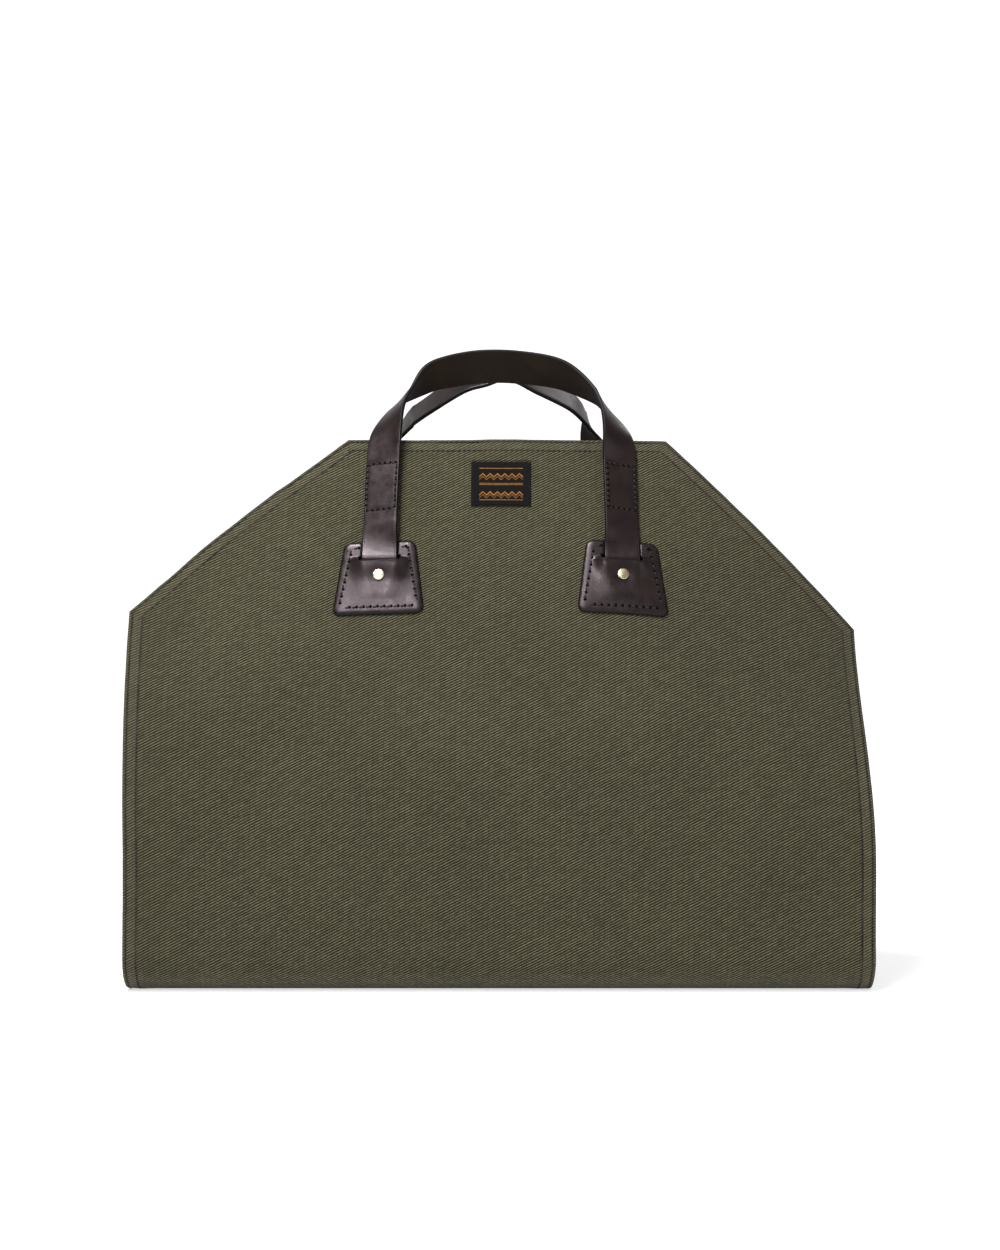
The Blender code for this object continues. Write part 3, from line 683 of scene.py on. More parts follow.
def brass_finish():
    """Polished brass with fine scratches and a little tarnish."""
    finish = Finish("brass", roughness=0.26, metallic=1.0)
    place = finish.place()
    streaks = finish.add("ShaderNodeMapping", Vector=place, Scale=(2600.0, 2600.0, 240.0)).outputs[0]
    scratches = finish.noise(streaks, 1.0, 2.0)
    tarnish = finish.noise(place, 520.0, 4.0, 0.6)
    dulled = finish.stretch(tarnish, 0.4, 0.75, 0.0, 1.0)
    colour = finish.mix(dulled, (0.90, 0.80, 0.55, 1), (0.70, 0.57, 0.32, 1))
    shine = finish.stretch(tarnish, 0.3, 0.7, 0.20, 0.38)
    return finish.done(colour, finish.bump(scratches, 0.00005, 0.5), shine)


def band(finish, value, middle, half):
    """1 within half of the middle, else 0."""
    return finish.sum("COMPARE", value, middle, half)


# The label's amber lines and chevrons, as heights above its middle and half widths. A
# chevron's height is that of its lowest points.
LABEL_LINES = ((0.0148, 0.00032), (0.0006, 0.00030), (-0.0006, 0.00030), (-0.0148, 0.00032))
LABEL_CHEVRONS = ((0.0066, 0.0007), (0.0040, 0.00032), (-0.0104, 0.0007), (-0.0130, 0.00032))
CHEVRON_RISE = 0.0031
LABEL_FIGURE_HALF = 0.0186


def thread_rows(finish, value):
    """Rounded threads side by side along this direction of the label."""
    return finish.sum("ABSOLUTE", finish.sum("SINE", finish.sum("MULTIPLY", value, math.pi / LABEL_THREAD)))


def label_finish():
    """Black woven label with plain amber lines and rows of chevrons."""
    finish = Finish("black_label", roughness=0.85, sheen=0.03, specular=0.1)
    across, length = finish.flat("weave")
    zigzag = finish.sum("PINGPONG", across, CHEVRON_RISE)
    shape = 0.0
    for middle, half in LABEL_LINES:
        shape = finish.sum("MAXIMUM", shape, band(finish, length, middle, half))
    for low, half in LABEL_CHEVRONS:
        chevron = band(finish, finish.sum("SUBTRACT", length, zigzag), low, half)
        shape = finish.sum("MAXIMUM", shape, chevron)
    shape = finish.sum("MULTIPLY", shape, band(finish, across, 0.0, LABEL_FIGURE_HALF))
    ribs = finish.sum("MULTIPLY", thread_rows(finish, across), thread_rows(finish, length))
    cloudy = finish.noise(finish.place(), 500.0, 2.0)
    # The black threads are lighter on their crowns and darker between them: painted highlight and painted
    # shade.
    black = finish.mix(ribs, (0.003, 0.003, 0.0035, 1), (0.014, 0.0135, 0.0145, 1))
    # The amber threads likewise carry a painted highlight on their crowns and painted shade between them,
    # with random tone from the noise.
    crown_highlight_and_tone = finish.sum("MULTIPLY", ribs, finish.stretch(cloudy, 0.3, 0.7, 0.5, 1.3))
    amber = finish.mix(crown_highlight_and_tone, (0.16, 0.065, 0.012, 1), (0.66, 0.30, 0.055, 1))
    height = finish.sum("MULTIPLY_ADD", shape, 0.5, ribs)
    return finish.done(finish.mix(shape, black, amber), finish.bump(height, 0.00018, 0.8))


# Cloth

def corner_length():
    """Length of cloth from the middle of the base to the lower end of the cut-off corner."""
    return FRONT_TOP - (PANEL_HEIGHT - CORNER_HEIGHT) / math.cos(LEAN)


def pattern_corners():
    """The flat cut: an eight-sided sheet, given as across and length. Its front left slant
    is cut a little round."""
    corner = corner_length()
    front, back = panel_top("front"), panel_top("back")
    drop = front - back
    half_top = TOP_WIDTH / 2
    slant_top, slant_end = Vector((TOP_OFFSET - half_top, front)), Vector((-HALF_WIDTH, corner))
    along = (slant_end - slant_top).normalized()
    outward = Vector((along.y, -along.x)) * SLANT_BULGE
    return [Vector(corner) for corner in (
        (-half_top, -back), (half_top, -back), (HALF_WIDTH, drop - corner), (HALF_WIDTH, corner),
        (half_top + TOP_OFFSET, front), slant_top,
        slant_top.lerp(slant_end, 1 / 3) + outward, slant_top.lerp(slant_end, 2 / 3) + outward,
        slant_end, (-HALF_WIDTH, drop - corner),
    )]


def pattern_edges():
    """Start, direction and inward direction of each edge of the flat cut."""
    corners = pattern_corners()
    edges = []
    for index, start in enumerate(corners):
        end = corners[(index + 1) % len(corners)]
        along = (end - start).normalized()
        edges.append((start, end, along, Vector((-along.y, along.x))))
    return edges


def inside(place, edges):
    """Distance from a point of the flat cut to its nearest edge."""
    return min(inward.dot(place - start) for start, _, _, inward in edges)


def flat_area(edges):
    return sum(start.cross(end) for start, end, _, _ in edges) / 2


def make_canvas(finish):
    edges = pattern_edges()
    bm = bmesh.new()
    verts = [bm.verts.new((*start, 0.0)) for start, _, _, _ in edges]
    sheet = bmesh.ops.contextual_create(bm, geom=verts)["faces"][0]
    for ring in HEM_RINGS:
        bmesh.ops.inset_region(bm, faces=[sheet], thickness=ring, use_even_offset=True, use_boundary=True)
    cut_lines(bm, 1, spaced(-panel_top("back"), panel_top("front"), CLOTH_MESH)[1:-1])
    cut_lines(bm, 0, spaced(-HALF_WIDTH, HALF_WIDTH, CLOTH_MESH)[1:-1])

    def along_hem(face, corner):
        middle = face.calc_center_median().xy
        start, _, along, inward = min(edges, key=lambda edge: edge[3].dot(middle - edge[0]))
        return along.dot(corner.xy - start), inward.dot(corner.xy - start)

    def on_cloth(flat, outer):
        distance = inside(flat.xy, edges)
        radius = HEM_THICKNESS / 2 - 0.0002
        soft = HEM_RIPPLE * (1 - smoothstep(HEM_WIDTH, 2 * HEM_WIDTH, distance))
        ripple = soft * noise.noise(Vector((flat.x * 60, flat.y * 60, 0.0)))
        step = smoothstep(HEM_WIDTH, HEM_WIDTH + HEM_STEP, distance)
        thickness = HEM_THICKNESS + (CLOTH_THICKNESS - HEM_THICKNESS) * step
        lift = ripple - rounding(distance, radius)
        if not outer:
            lift = ripple + rounding(distance, radius) - thickness
        return cloth_point(flat.x, flat.y, lift)

    map_flat(bm, "weave")
    map_flat(bm, "hem", along_hem)
    give_body(bm, on_cloth)
    canvas = add_piece("canvas", bm, [finish], ["canvas_sheet"])
    return canvas, edges


def hem_rows(edges):
    """The two straight seams along each edge. Each runs on across the neighbours' hems."""
    rows = []
    for start, end, along, inward in edges:
        for distance in SEAM_ROWS:
            places = row_places(start + inward * distance, end + inward * distance, HEM_PITCH)
            rows.append([place for place in places if inside(place[0], edges) > SEAM_END_ROOM])
    return rows


def on_cloth_frame(place, direction, lift):
    """A matrix on the cloth, X along this direction of the flat cut and Z outwards."""
    reach = 0.0004
    beside = Vector((-direction.y, direction.x))
    here, ahead, aside = (
        cloth_point(*(place + way * reach), lift) for way in (Vector((0.0, 0.0)), direction, beside)
    )
    return frame_from(here, ahead - here, aside - here)


def sew_hem(edges, finishes):
    """Hem stitches on both faces of the cloth, one piece for each panel and face."""
    stitch = make_stitch(*HEM_STITCH)
    rows = hem_rows(edges)
    pieces = []
    for panel, facing in (("front", 1), ("back", -1)):
        for face, lift in (("outer", 0.0), ("inner", -HEM_THICKNESS)):
            bm = bmesh.new()
            for row in rows:
                sew(bm, stitch, [on_cloth_frame(*place, lift) for place in row if place[0].y * facing > 0])
            pieces.append(add_piece(f"{panel}_{face}_hem_stitches", bm, finishes))
    return pieces


# Patches

def strap_across(panel, side, below_top):
    """Where a strap's middle line crosses this distance below the top hem. The two straps
    of a handle draw together above their patches."""
    above_slot = max(0.0, 1 - below_top / SLOT_BELOW_TOP)
    drawn_in = 1 - LOOPS[panel, side][0]["across"]
    return SIDES[side] * LEG_SPREAD * (1 - drawn_in * above_slot**2)


def patch_place(side, right, up):
    """Across and distance below the top hem, from the patch's own middle."""
    middle = PATCH_BELOW_TOP + PATCH_HEIGHT / 2
    rise = right * math.tan(PATCH_TURN[side])
    return SIDES[side] * LEG_SPREAD + right, middle - up - rise


def tail_share(below_top):
    """The share of its thickness that the strap keeps: it is pared down under the patch."""
    under_lip = smoothstep(SLOT_BELOW_TOP - PARE_START, SLOT_BELOW_TOP + PARE_END, below_top)
    at_tail = smoothstep(SLOT_BELOW_TOP, TAIL_BELOW_TOP, below_top)
    return 1 - LIP_PARED * under_lip - TAIL_PARED * at_tail


def patch_lift(panel, side, across, below_top):
    """Height of the patch's underside: it swells over the end of the strap, most at its lip."""
    below_lip = smoothstep(SLOT_BELOW_TOP, TAIL_BELOW_TOP, below_top)
    fall = LIP_FALL + (TAIL_FALL - LIP_FALL) * below_lip
    beside = abs(across - strap_across(panel, side, below_top)) - STRAP_WIDTH / 2
    over = 1 - smoothstep(-0.001 - SWELL_ROUND * below_lip, fall, beside)
    start = smoothstep(SLOT_BELOW_TOP - SLOT_WIDTH, SLOT_BELOW_TOP - 0.001, below_top)
    end = 1 - smoothstep(-0.2 * SWELL_ROUND, TAIL_FALL, below_top - TAIL_BELOW_TOP)
    past_lip = smoothstep(-LIP_SEATED, LIP_REACH, below_top - SLOT_BELOW_TOP)
    rise = LIP_RISE * (1 - past_lip)
    return CLEARANCE + (PATCH_SWELL * tail_share(below_top) * end + rise) * over * start


def patch_corners(inset=0.0):
    """The patch's corners on its flat pattern, moved in from its edges."""
    half_top, half_bottom = PATCH_TOP_WIDTH / 2 - inset, PATCH_BOTTOM_WIDTH / 2 - inset
    half_height = PATCH_HEIGHT / 2 - inset
    return [Vector(corner) for corner in (
        (-half_bottom, -half_height), (half_bottom, -half_height),
        (half_top, half_height), (-half_top, half_height),
    )]


def patch_inside(flat):
    """Distance in from the patch's edge, whose corners are rounded."""
    corners = patch_corners()
    near = []
    for start, end in zip(corners, corners[1:] + corners[:1]):
        along = (end - start).normalized()
        near.append(PATCH_CORNER_RADIUS - Vector((-along.y, along.x)).dot(flat - start))
    first, second = sorted(near)[-1:-3:-1]
    return PATCH_CORNER_RADIUS - (math.hypot(first, second) if second > 0 else first)


SLOT_LOW = PATCH_HEIGHT / 2 - SLOT_BELOW_PATCH_TOP
SLOT_HALF = STRAP_WIDTH / 2 + SLOT_SIDE_ROOM


def slot_outside(flat):
    """Distance from the slot that the strap comes out of."""
    sideways = abs(flat.x) - SLOT_HALF
    upright = abs(flat.y - SLOT_LOW - SLOT_WIDTH / 2) - SLOT_WIDTH / 2
    return math.hypot(max(0.0, sideways), max(0.0, upright))


def patch_pattern():
    """The flat patch with its slot, cut finely along its edges and its slot."""
    bm = bmesh.new()
    verts = [bm.verts.new((*corner, 0.0)) for corner in patch_corners()]
    bmesh.ops.contextual_create(bm, geom=verts)
    bmesh.ops.bevel(
        bm, geom=bm.verts[:], affect="VERTICES", offset=PATCH_CORNER_RADIUS,
        segments=7, profile=0.5, material=-1,
    )
    for ring in PATCH_RINGS:
        inmost = max(bm.faces, key=lambda face: face.calc_area())
        bmesh.ops.inset_region(bm, faces=[inmost], thickness=ring, use_even_offset=True)
    slot_high = SLOT_LOW + SLOT_WIDTH
    cut_lines(bm, 0, [sign * (SLOT_HALF + lip) for sign in (-1, 1) for lip in SLOT_LIPS])
    cut_lines(bm, 1, [SLOT_LOW - lip for lip in SLOT_LIPS] + [slot_high + lip for lip in SLOT_LIPS])
    half_width, half_height = PATCH_BOTTOM_WIDTH / 2, PATCH_HEIGHT / 2
    cut_lines(bm, 0, spaced(-half_width, half_width, PATCH_MESH)[1:-1])
    cut_lines(bm, 1, spaced(-half_height, half_height, PATCH_MESH)[1:-1])
    opening = []
    for face in bm.faces:
        middle = face.calc_center_median()
        if abs(middle.x) < SLOT_HALF and SLOT_LOW < middle.y < slot_high:
            opening.append(face)
    bmesh.ops.delete(bm, geom=opening, context="FACES")
    return bm


def patch_face(panel, side, flat, outer):
    """A point of the patch's upper or lower face."""
    across, below_top = patch_place(side, flat.x, flat.y)
    lift = patch_lift(panel, side, across, below_top)
    if not outer:
        return panel_point(panel, across, below_top, lift)
    distance = patch_inside(flat)
    rivet = math.hypot(across - strap_across(panel, side, RIVET_BELOW_TOP), below_top - RIVET_BELOW_TOP)
    lift += PATCH_THICKNESS - rounding(min(distance, slot_outside(flat)), PATCH_EDGE)
    lift -= PATCH_BORDER_FALL * (1 - smoothstep(0.0, PATCH_BORDER, distance))
    lift -= SEAM_GROOVE * groove(distance - PATCH_BORDER, PATCH_GROOVE_WIDTH)
    if below_top < SLOT_BELOW_TOP - SLOT_WIDTH / 2:
        beside = abs(across - strap_across(panel, side, below_top)) - STRAP_WIDTH / 2
        lift -= PATCH_PRESSED * (1 - smoothstep(-PRESSED_SLOPE, PRESSED_ROOM, beside))
    lift -= DIMPLE_DEPTH * groove(rivet, DIMPLE_RADIUS)
    return panel_point(panel, across, below_top, lift)


def make_patch(panel, side, finishes):
    bm = patch_pattern()
    map_flat(bm, "leather")
    for face in bm.faces:
        middle = face.calc_center_median().xy
        face.material_index = int(min(patch_inside(middle), slot_outside(middle)) < PATCH_EDGE)
    give_body(bm, lambda flat, outer: patch_face(panel, side, flat.xy, outer))
    return add_piece(f"{panel}_{side}_leather", bm, finishes, [f"{panel}_{side}_patch"])


def patch_seam():
    """The patch's seam: down both sides and along the bottom, and the short runs at the top."""
    low_left, low_right, high_right, high_left = patch_corners(PATCH_BORDER)
    right, up = Vector((PATCH_SEAM_TURN, 0)), Vector((0, PATCH_SEAM_TURN))
    beside_strap = STRAP_WIDTH / 2 + 0.001
    runs = [
        (low_left + right, low_right - right),
        (low_right + up, high_right),
        (high_left, low_left + up),
        (high_left, Vector((-beside_strap, high_left.y))),
        (Vector((beside_strap, high_right.y)), high_right),
    ]
    return [place for run in runs for place in row_places(*run, PATCH_PITCH)]


def sew_patch(panel, side, finishes):
    stitch = make_stitch(*PATCH_STITCH)
    reach = 0.0006

    def frame_at(place, direction):
        beside = Vector((-direction.y, direction.x)) * PANELS[panel]["facing"]
        here, ahead, aside = (
            patch_face(panel, side, place + way * reach, True)
            for way in (Vector((0.0, 0.0)), direction, beside)
        )
        return frame_from(here, ahead - here, aside - here, math.radians(PATCH_STITCH_SLANT))

    bm = bmesh.new()
    sew(bm, stitch, [frame_at(*place) for place in patch_seam()])
    return add_piece(f"{panel}_{side}_patch_stitches", bm, finishes)


# Handles

def strap_lift(below_top):
    """Lift of the strap's middle: low on the cloth, ever steeper up over the patch's top,
    then down behind the patch's lip and low again under the patch."""
    share = (below_top - SEAM_BELOW_TOP) / (SLOT_BELOW_TOP - SEAM_BELOW_TOP)
    climb = STRAP_BULGE * min(1.0, max(0.0, share)) ** BULGE_EASE
    dive = smoothstep(SLOT_BELOW_TOP - DIVE_START, SLOT_BELOW_TOP + DIVE_END, below_top)
    sunk = (1 - tail_share(below_top)) * STRAP_THICKNESS / 2
    return STRAP_LOW + climb * (1 - dive) + twist_lift(leg_twist(below_top)) - sunk


def leg_twist(below_top):
    """The strap's inner edge stands off the cloth ever more towards the top hem."""
    untwisted = smoothstep(SLOT_BELOW_TOP - TWIST_FULL, SLOT_BELOW_TOP - TWIST_START, below_top)
    return math.radians(LEG_TWIST) * (1 - untwisted)


def twist_lift(turn):
    return STRAP_WIDTH / 2 * math.sin(turn)


def leg_stations(panel, side):
    """The strap's middle line from its tail up to where it leaves the panel, as places, the
    way out from the panel, turns about the strap's length, and distances below the hem."""
    ends = (
        TAIL_BELOW_TOP, SLOT_BELOW_TOP + DIVE_END, SLOT_BELOW_TOP - SLOT_WIDTH,
        SEAM_BELOW_TOP, FREE_BELOW_TOP,
    )
    places = [TAIL_BELOW_TOP]
    for start, end, step in zip(ends, ends[1:], LEG_STEPS):
        places += spaced(start, end, step)[1:]
    stations = []
    for place in places:
        middle = strap_across(panel, side, place)
        half = SIDES[side] * STRAP_WIDTH / 2
        inner, outer = panel_point(panel, middle - half, place), panel_point(panel, middle + half, place)
        tilt = math.asin((inner - outer).dot(panel_normal(panel)) / STRAP_WIDTH) + leg_twist(place)
        on_panel = (inner + outer) / 2 + panel_normal(panel) * strap_lift(place)
        stations.append((on_panel, panel_normal(panel), tilt, place))
    return stations


def off_cloth(panel, side):
    """How far the strap's middle must stand off the cloth to turn freely beside the top hem."""
    return TURNING_ROOM * STRAP_WIDTH * math.sin(math.radians(LOOPS[panel, side][0]["turn"]))


def leaving_stations(panel, side):
    """The strap's way from the cloth to beside the top hem, turning and lifting as it goes."""
    stations = []
    for place in spaced(FREE_BELOW_TOP, 0.0, 0.007)[1:-1]:
        share = (1 - place / FREE_BELOW_TOP) ** LEAVING_EASE
        start = leg_twist(place)
        lift = STRAP_LOW + twist_lift(start) * (1 - share) + share * off_cloth(panel, side)
        point = panel_point(panel, strap_across(panel, side, place), place, lift)
        turn = start + (math.radians(LOOPS[panel, side][0]["turn"]) - start) * share
        stations.append((point, panel_normal(panel), turn, place))
    return stations


def loop_stations(panel, side):
    """Half of the free loop, from beside the top hem to its middle, in the same form."""
    hem = panel_point(panel, 0.0, 0.0)
    lift = STRAP_LOW + off_cloth(panel, side)
    hem.yz = panel_point(panel, strap_across(panel, side, 0.0), 0.0, lift).yz
    middle_y = math.copysign(HANDLE_GAP / 2, hem.y)
    rise = PANEL_HEIGHT + HANDLE_RISE - hem.z
    level = Vector((0.0, -PANELS[panel]["facing"], 0.0))
    stations = []
    for row in LOOPS[panel, side]:
        place = Vector((
            hem.x + SIDES[side] * row["across"] * LEG_SPREAD,
            hem.y + (middle_y - hem.y) * row["inward"],
            hem.z + rise * row["rise"],
        ))
        out = panel_normal(panel).lerp(level, row["inward"])
        stations.append((place, out, math.radians(row["turn"]), -rise * row["rise"]))
    return stations


def handle_stations(panel):
    """All stations of a handle, from the tail of its left leg to that of its right leg."""
    left, right = (
        leg_stations(panel, side) + leaving_stations(panel, side) + loop_stations(panel, side)
        for side in ("left", "right")
    )
    return left + right[-2::-1]


def eased(before, start, end, after, share):
    """A smooth curve from start to end that heeds its neighbours. It takes numbers or vectors."""
    return 0.5 * (
        2 * start
        + (end - before) * share
        + (2 * before - 5 * start + 4 * end - after) * share**2
        + (3 * start - before - 3 * end + after) * share**3
    )


def smooth_route(stations, step):
    """Stations filled in evenly along a smooth curve."""
    filled = []
    last = len(stations) - 1
    for index in range(last):
        around = [stations[min(last, max(0, near))] for near in range(index - 1, index + 3)]
        gap = (around[2][0] - around[1][0]).length
        count = max(1, round(gap / step))
        for part in range(count):
            filled.append(tuple(eased(*values, part / count) for values in zip(*around)))
    filled.append(stations[last])
    return filled


def softened(route):
    """The route with its bend beside the top hem spread out, so the strap shows no crease."""
    for _ in range(SOFTEN_PASSES):
        before = list(route)
        for index in range(1, len(route) - 1):
            if SOFTEN_FROM < before[index][3] < SOFTEN_TO:
                near = zip(before[index - 1], before[index], before[index + 1])
                route[index] = tuple((last + 2 * this + after) / 4 for last, this, after in near)
    return route


def strap_axes(route, index, facing):
    """Unit vectors at a station: across from the outer edge to the inner one, and out of
    the grain side."""
    before, after = route[max(0, index - 1)][0], route[min(len(route) - 1, index + 1)][0]
    along = (after - before).normalized()
    _, out, turn, _ = route[index]
    inward = along.cross(out).normalized() * facing
    forward = (inward.cross(along) * facing).normalized()
    across = inward * math.cos(turn) + forward * math.sin(turn)
    return across, across.cross(along).normalized() * facing


def box_mark(below_top, across):
    """How close a point of the strap's grain side is to its box of stitches: 1 on the line."""
    wide = STRAP_WIDTH / 2 - BOX_INSET
    reach = 5 * BOX_GROOVE_WIDTH
    if below_top < BOX_TOP - reach or below_top > SEAM_BELOW_TOP + reach:
        return 0.0
    upright = min(abs(below_top - BOX_TOP), abs(below_top - SEAM_BELOW_TOP))
    level_run = groove(upright, BOX_GROOVE_WIDTH)
    if BOX_TOP < below_top < SEAM_BELOW_TOP:
        return max(groove(abs(across) - wide, BOX_GROOVE_WIDTH), level_run * (abs(across) < wide))
    return level_run * (abs(across) < wide + BOX_GROOVE_WIDTH)


def strap_point(route, index, facing, across, outer):
    """A point of the strap's grain or flesh side."""
    middle, _, _, below_top = route[index]
    way, out = strap_axes(route, index, facing)
    edge = STRAP_WIDTH / 2 - abs(across)
    share = tail_share(below_top)
    half = STRAP_THICKNESS / 2 * share - rounding(edge, STRAP_EDGE * share)
    if outer:
        half -= SEAM_GROOVE * box_mark(below_top, across)
        half -= SEAM_GROOVE * groove(edge - EDGE_LINE_INSET, EDGE_LINE_WIDTH)
    return middle + way * across + out * (half if outer else -half)


def strap_columns():
    """Places across the strap, close together along its rounded edges."""
    wide = STRAP_WIDTH / 2
    edge = [wide - off for off in (0.0, 0.0002, 0.0006, STRAP_EDGE, EDGE_LINE_INSET, 0.0021)]
    box = [wide - BOX_INSET - off for off in (-0.0002, 0.0004, 0.0010)]
    flat = spaced(wide - 0.0048, -wide + 0.0048, 0.0024)
    right = edge + box
    return right + flat + [-place for place in right[::-1]]


def make_strap(panel, finishes):
    facing = PANELS[panel]["facing"]
    route = softened(smooth_route(handle_stations(panel), STRAP_MESH))
    columns = strap_columns()
    bm = bmesh.new()
    bmesh.ops.create_grid(bm, x_segments=len(route) - 1, y_segments=len(columns) - 1, size=0.5)
    for vert in bm.verts:
        station = round((vert.co.x + 0.5) * (len(route) - 1))
        column = round((vert.co.y + 0.5) * (len(columns) - 1))
        vert.co = Vector((station * STRAP_MESH, columns[column], 0.0))
    map_flat(bm, "leather")
    grain, edge, flesh = range(3)
    for face in bm.faces:
        face.material_index = flesh
    give_body(bm, lambda flat, outer: strap_point(route, round(flat.x / STRAP_MESH), facing, flat.y, outer))
    layer = bm.loops.layers.uv["leather"]
    for face in bm.faces:
        face.normal_update()
        across = sum(loop[layer].uv.y for loop in face.loops) / len(face.loops)
        station = round(sum(loop[layer].uv.x for loop in face.loops) / len(face.loops) / STRAP_MESH)
        _, out = strap_axes(route, min(station, len(route) - 1), facing)
        if abs(across) > STRAP_WIDTH / 2 - BURNISHED_WIDTH:
            face.material_index = edge
        elif face.normal.dot(out) > 0:
            face.material_index = grain
    made = add_piece(f"{panel}_strap", bm, finishes, [f"{panel}_handle"])
    return made, route


def strap_spot(route, panel, side, below_top, across):
    """A point of a strap leg's grain side, this far below the top hem."""
    facing = PANELS[panel]["facing"]
    half = len(route) // 2
    legs = range(half) if side == "left" else range(len(route) - 1, half, -1)
    index = min(legs, key=lambda near: abs(route[near][3] - below_top))
    return strap_point(route, index, facing, across, True)


def sew_boxes(panel, route, finishes):
    """The box of stitches on each leg of a handle."""
    stitch = make_stitch(*BOX_STITCH)
    reach = 0.003
    out = panel_normal(panel)
    wide = STRAP_WIDTH / 2 - BOX_INSET
    corners = [
        Vector((-wide, BOX_TOP)), Vector((wide, BOX_TOP)),
        Vector((wide, SEAM_BELOW_TOP)), Vector((-wide, SEAM_BELOW_TOP)),
    ]
    bm = bmesh.new()
    for side in SIDES:
        places = []
        for start, end in zip(corners, corners[1:] + corners[:1]):
            for place, direction in row_places(start, end, BOX_PITCH):
                onward = place + direction * reach
                here = strap_spot(route, panel, side, place.y, place.x)
                along = strap_spot(route, panel, side, onward.y, onward.x) - here
                places.append(frame_from(here, along, out.cross(along), math.radians(BOX_STITCH_SLANT)))
        sew(bm, stitch, places)
    return add_piece(f"{panel}_strap_stitches", bm, finishes)


# Rivets and label

def make_rivet(panel, side, finish):
    across = strap_across(panel, side, RIVET_BELOW_TOP)
    seat = patch_lift(panel, side, across, RIVET_BELOW_TOP) + PATCH_THICKNESS - 0.6 * DIMPLE_DEPTH
    washer = -CLOTH_THICKNESS - CLEARANCE
    crown = seat + RIVET_HEAD_HEIGHT
    shoulder = RIVET_HEAD_RADIUS - RIVET_HEAD_ROUND
    round_middle = crown - RIVET_CROWN - RIVET_HEAD_ROUND
    profile = [(share * shoulder, crown - RIVET_CROWN * share**2) for share in (0.0, 0.25, 0.5, 0.75, 1.0)]
    for degrees in range(20, 91, 14):
        angle = math.radians(degrees)
        radius = shoulder + RIVET_HEAD_ROUND * math.sin(angle)
        profile.append((radius, round_middle + RIVET_HEAD_ROUND * math.cos(angle)))
    washer_back = washer - WASHER_THICKNESS
    tail_end = washer_back - WASHER_THICKNESS / 2
    profile += [
        (RIVET_HEAD_RADIUS, seat), (RIVET_SHANK_RADIUS, seat), (RIVET_SHANK_RADIUS, washer),
        (WASHER_RADIUS - 0.0002, washer), (WASHER_RADIUS, washer - 0.0003),
        (WASHER_RADIUS - 0.0005, washer_back), (RIVET_TAIL_RADIUS, washer_back),
        (RIVET_TAIL_RADIUS - 0.0004, tail_end), (0.0, tail_end),
    ]
    bm = bmesh.new()
    verts = [bm.verts.new((radius, 0.0, height)) for radius, height in profile]
    edges = [bm.edges.new(pair) for pair in zip(verts, verts[1:])]
    bmesh.ops.spin(
        bm, geom=verts + edges, axis=(0, 0, 1), cent=(0, 0, 0), angle=2 * math.pi, steps=40, use_merge=True,
    )
    bmesh.ops.remove_doubles(bm, verts=bm.verts[:], dist=1e-6)
    bmesh.ops.recalc_face_normals(bm, faces=bm.faces[:])
    place = panel_point(panel, across, RIVET_BELOW_TOP)
    level = panel_point(panel, across + RIVET_HEAD_RADIUS, RIVET_BELOW_TOP) - place
    down = panel_point(panel, across, RIVET_BELOW_TOP + RIVET_HEAD_RADIUS) - place
    out = down.normalized().cross(level.normalized()) * PANELS[panel]["facing"]
    turn = out.to_track_quat("Z", "Y").to_matrix().to_4x4()
    bmesh.ops.transform(bm, matrix=Matrix.Translation(place) @ turn, verts=bm.verts[:])
    return add_piece(f"{panel}_{side}_brass_rivet", bm, [finish], [f"{panel}_{side}_rivet"])


def label_point(flat, lift):
    return panel_point("front", flat.x, LABEL_BELOW_TOP + LABEL_HEIGHT / 2 - flat.y, lift)


def make_label(finish):
    bm = bmesh.new()
    bmesh.ops.create_grid(bm, x_segments=40, y_segments=34, size=0.5)
    for vert in bm.verts:
        vert.co = Vector((vert.co.x * LABEL_WIDTH, vert.co.y * LABEL_HEIGHT, 0.0))

    def on_label(flat, outer):
        if not outer:
            return label_point(flat, 0.0)
        beside = LABEL_WIDTH / 2 - abs(flat.x)
        edge = min(beside, LABEL_HEIGHT / 2 - abs(flat.y))
        ripple = LABEL_RIPPLE * noise.noise(Vector((flat.x * 150, flat.y * 150, 4.0)))
        folded = LABEL_FOLD_HEIGHT * (beside < LABEL_FOLD_WIDTH)
        return label_point(flat, LABEL_THICKNESS + folded + ripple - rounding(edge, LABEL_EDGE))

    map_flat(bm, "weave")
    give_body(bm, on_label)
    return add_piece("black_woven_label", bm, [finish], ["woven_label"])


def sew_label(finishes):
    """Small overcast stitches along the label's top and bottom, and a seam down each side."""
    stitch = make_stitch(*LABEL_STITCH)
    reach = 0.0004
    half_width, half_height = LABEL_WIDTH / 2, LABEL_HEIGHT / 2
    overcast = Vector((0.25, 1.0)).normalized()
    places = []
    for edge in (-half_height, half_height):
        row = row_places(Vector((-half_width, edge)), Vector((half_width, edge)), OVERCAST_PITCH)
        places += [(place, overcast) for place, _ in row]
    for side in (-1, 1):
        edge = side * (half_width - LABEL_SEAM_INSET)
        places += row_places(Vector((edge, -half_height)), Vector((edge, half_height)), LABEL_SEAM_PITCH)
    bm = bmesh.new()
    matrices = []
    for place, direction in places:
        here = label_point(place, LABEL_THICKNESS)
        along = label_point(place + direction * reach, LABEL_THICKNESS) - here
        matrices.append(frame_from(here, along, panel_normal("front").cross(along)))
    sew(bm, stitch, matrices)
    return add_piece("label_stitches", bm, finishes)


# Stage, lights and camera

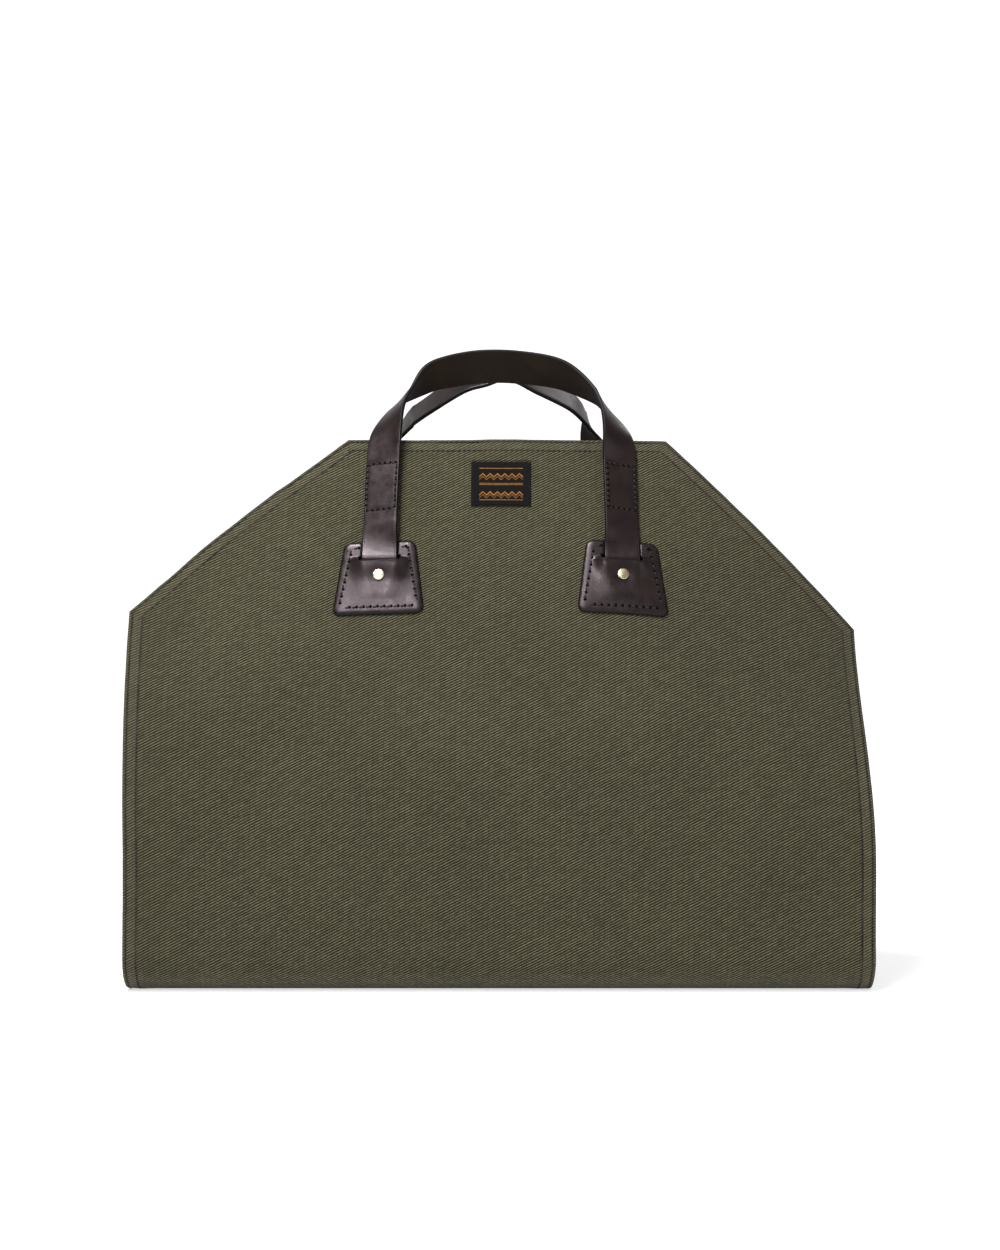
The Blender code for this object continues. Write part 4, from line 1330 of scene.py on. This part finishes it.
def glow_to_camera(tree, socket, glow, more):
    """Sets this socket to a glow, with more of it for the camera than for the carrier."""
    seen = tree.nodes.new("ShaderNodeLightPath")
    sum_up = tree.nodes.new("ShaderNodeMath")
    sum_up.operation = "MULTIPLY_ADD"
    sum_up.inputs[1].default_value, sum_up.inputs[2].default_value = more, glow
    tree.links.new(seen.outputs["Is Camera Ray"], sum_up.inputs[0])
    tree.links.new(sum_up.outputs[0], socket)


def add_floor():
    """A pale floor that curves up into a backdrop."""
    bm = bmesh.new()
    left = bm.verts.new((-FLOOR_HALF_WIDTH, FLOOR_FRONT, 0.0))
    right = bm.verts.new((FLOOR_HALF_WIDTH, FLOOR_FRONT, 0.0))
    strip = [bm.edges.new((left, right))]
    profile = [(BACKDROP_START, 0.0)]
    for degrees in range(10, 91, 10):
        angle = math.radians(degrees)
        depth = BACKDROP_START + BACKDROP_RADIUS * math.sin(angle)
        profile.append((depth, BACKDROP_RADIUS - BACKDROP_RADIUS * math.cos(angle)))
    profile.append((BACKDROP_START + BACKDROP_RADIUS, BACKDROP_TOP))
    for depth, height in profile:
        raised = bmesh.ops.extrude_edge_only(bm, edges=strip)["geom"]
        strip = [item for item in raised if isinstance(item, bmesh.types.BMEdge)]
        for vert in {vert for edge in strip for vert in edge.verts}:
            vert.co.y, vert.co.z = depth, height
    bmesh.ops.recalc_face_normals(bm, faces=bm.faces[:])
    mesh = bpy.data.meshes.new("floor")
    bm.to_mesh(mesh)
    bm.free()
    mesh.shade_smooth()
    paper = bpy.data.materials.new("pale_paper")
    paper.use_nodes = True
    shader = paper.node_tree.nodes["Principled BSDF"]
    shader.inputs["Base Color"].default_value = (0.90, 0.90, 0.90, 1.0)
    shader.inputs["Roughness"].default_value = 0.9
    shader.inputs["Emission Color"].default_value = (1.0, 1.0, 1.0, 1.0)
    glow_to_camera(paper.node_tree, shader.inputs["Emission Strength"], 0.22, 0.42)
    mesh.materials.append(paper)
    floor = bpy.data.objects.new("floor", mesh)
    bpy.context.scene.collection.objects.link(floor)


def add_light(name, place, width, height, power):
    """A soft light, aimed at the middle of the carrier."""
    light = bpy.data.lights.new(name, "AREA")
    light.shape = "RECTANGLE"
    light.size = width
    light.size_y = height
    light.energy = power
    made = bpy.data.objects.new(name, light)
    made.location = place
    aim = Vector((0.0, 0.0, 0.25)) - Vector(place)
    made.rotation_euler = aim.to_track_quat("-Z", "Y").to_euler()
    bpy.context.scene.collection.objects.link(made)


def add_world():
    world = bpy.data.worlds.new("studio")
    world.use_nodes = True
    background = world.node_tree.nodes["Background"]
    background.inputs["Color"].default_value = (1.0, 1.0, 1.0, 1.0)
    glow_to_camera(world.node_tree, background.inputs["Strength"], 0.16, 0.84)
    bpy.context.scene.world = world
    bpy.context.scene.view_settings.view_transform = "Standard"


def add_camera():
    camera = bpy.data.cameras.new("camera")
    camera.lens = CAMERA_LENS
    camera.sensor_width = 36.0
    made = bpy.data.objects.new("camera", camera)
    made.location = CAMERA_PLACE
    made.rotation_euler = (math.pi / 2, 0.0, 0.0)
    bpy.context.scene.collection.objects.link(made)
    bpy.context.scene.camera = made


def dress():
    twill = twill_finish()
    grain = grain_finish("brown_leather", (0.0085, 0.0050, 0.0048, 1), (0.018, 0.0100, 0.0090, 1), 0.31)
    edge, flesh, hole_shade = edge_finish(), flesh_finish(), hole_shade_finish()
    dark_thread = thread_finish("dark_thread", (0.003, 0.002, 0.0015, 1), (0.014, 0.009, 0.007, 1))
    hem_thread = thread_finish("hem_thread", (0.007, 0.005, 0.003, 1), (0.030, 0.022, 0.013, 1))
    brass = brass_finish()
    canvas, edges = make_canvas(twill)
    hem = sew_hem(edges, [hem_thread, hole_shade])
    flat_area(edges)
    make_label(label_finish())
    sew_label([dark_thread, hole_shade])
    for panel in PANELS:
        _, route = make_strap(panel, [grain, edge, flesh])
        sew_boxes(panel, route, [dark_thread, hole_shade])
        for side in SIDES:
            make_patch(panel, side, [grain, edge])
            sew_patch(panel, side, [dark_thread, hole_shade])
            make_rivet(panel, side, brass)


add_camera()
add_world()
add_light("key", (-0.56, -0.83, 2.18), 0.55, 0.55, 44.0)
add_light("low", (-0.44, -1.66, 1.48), 0.36, 0.70, 13.0)
add_light("back", (0.9, 2.1, 2.3), 1.0, 1.0, 14.0)
add_light("fill", (1.9, -1.8, 0.9), 1.2, 1.2, 3.5)
add_floor()
dress()
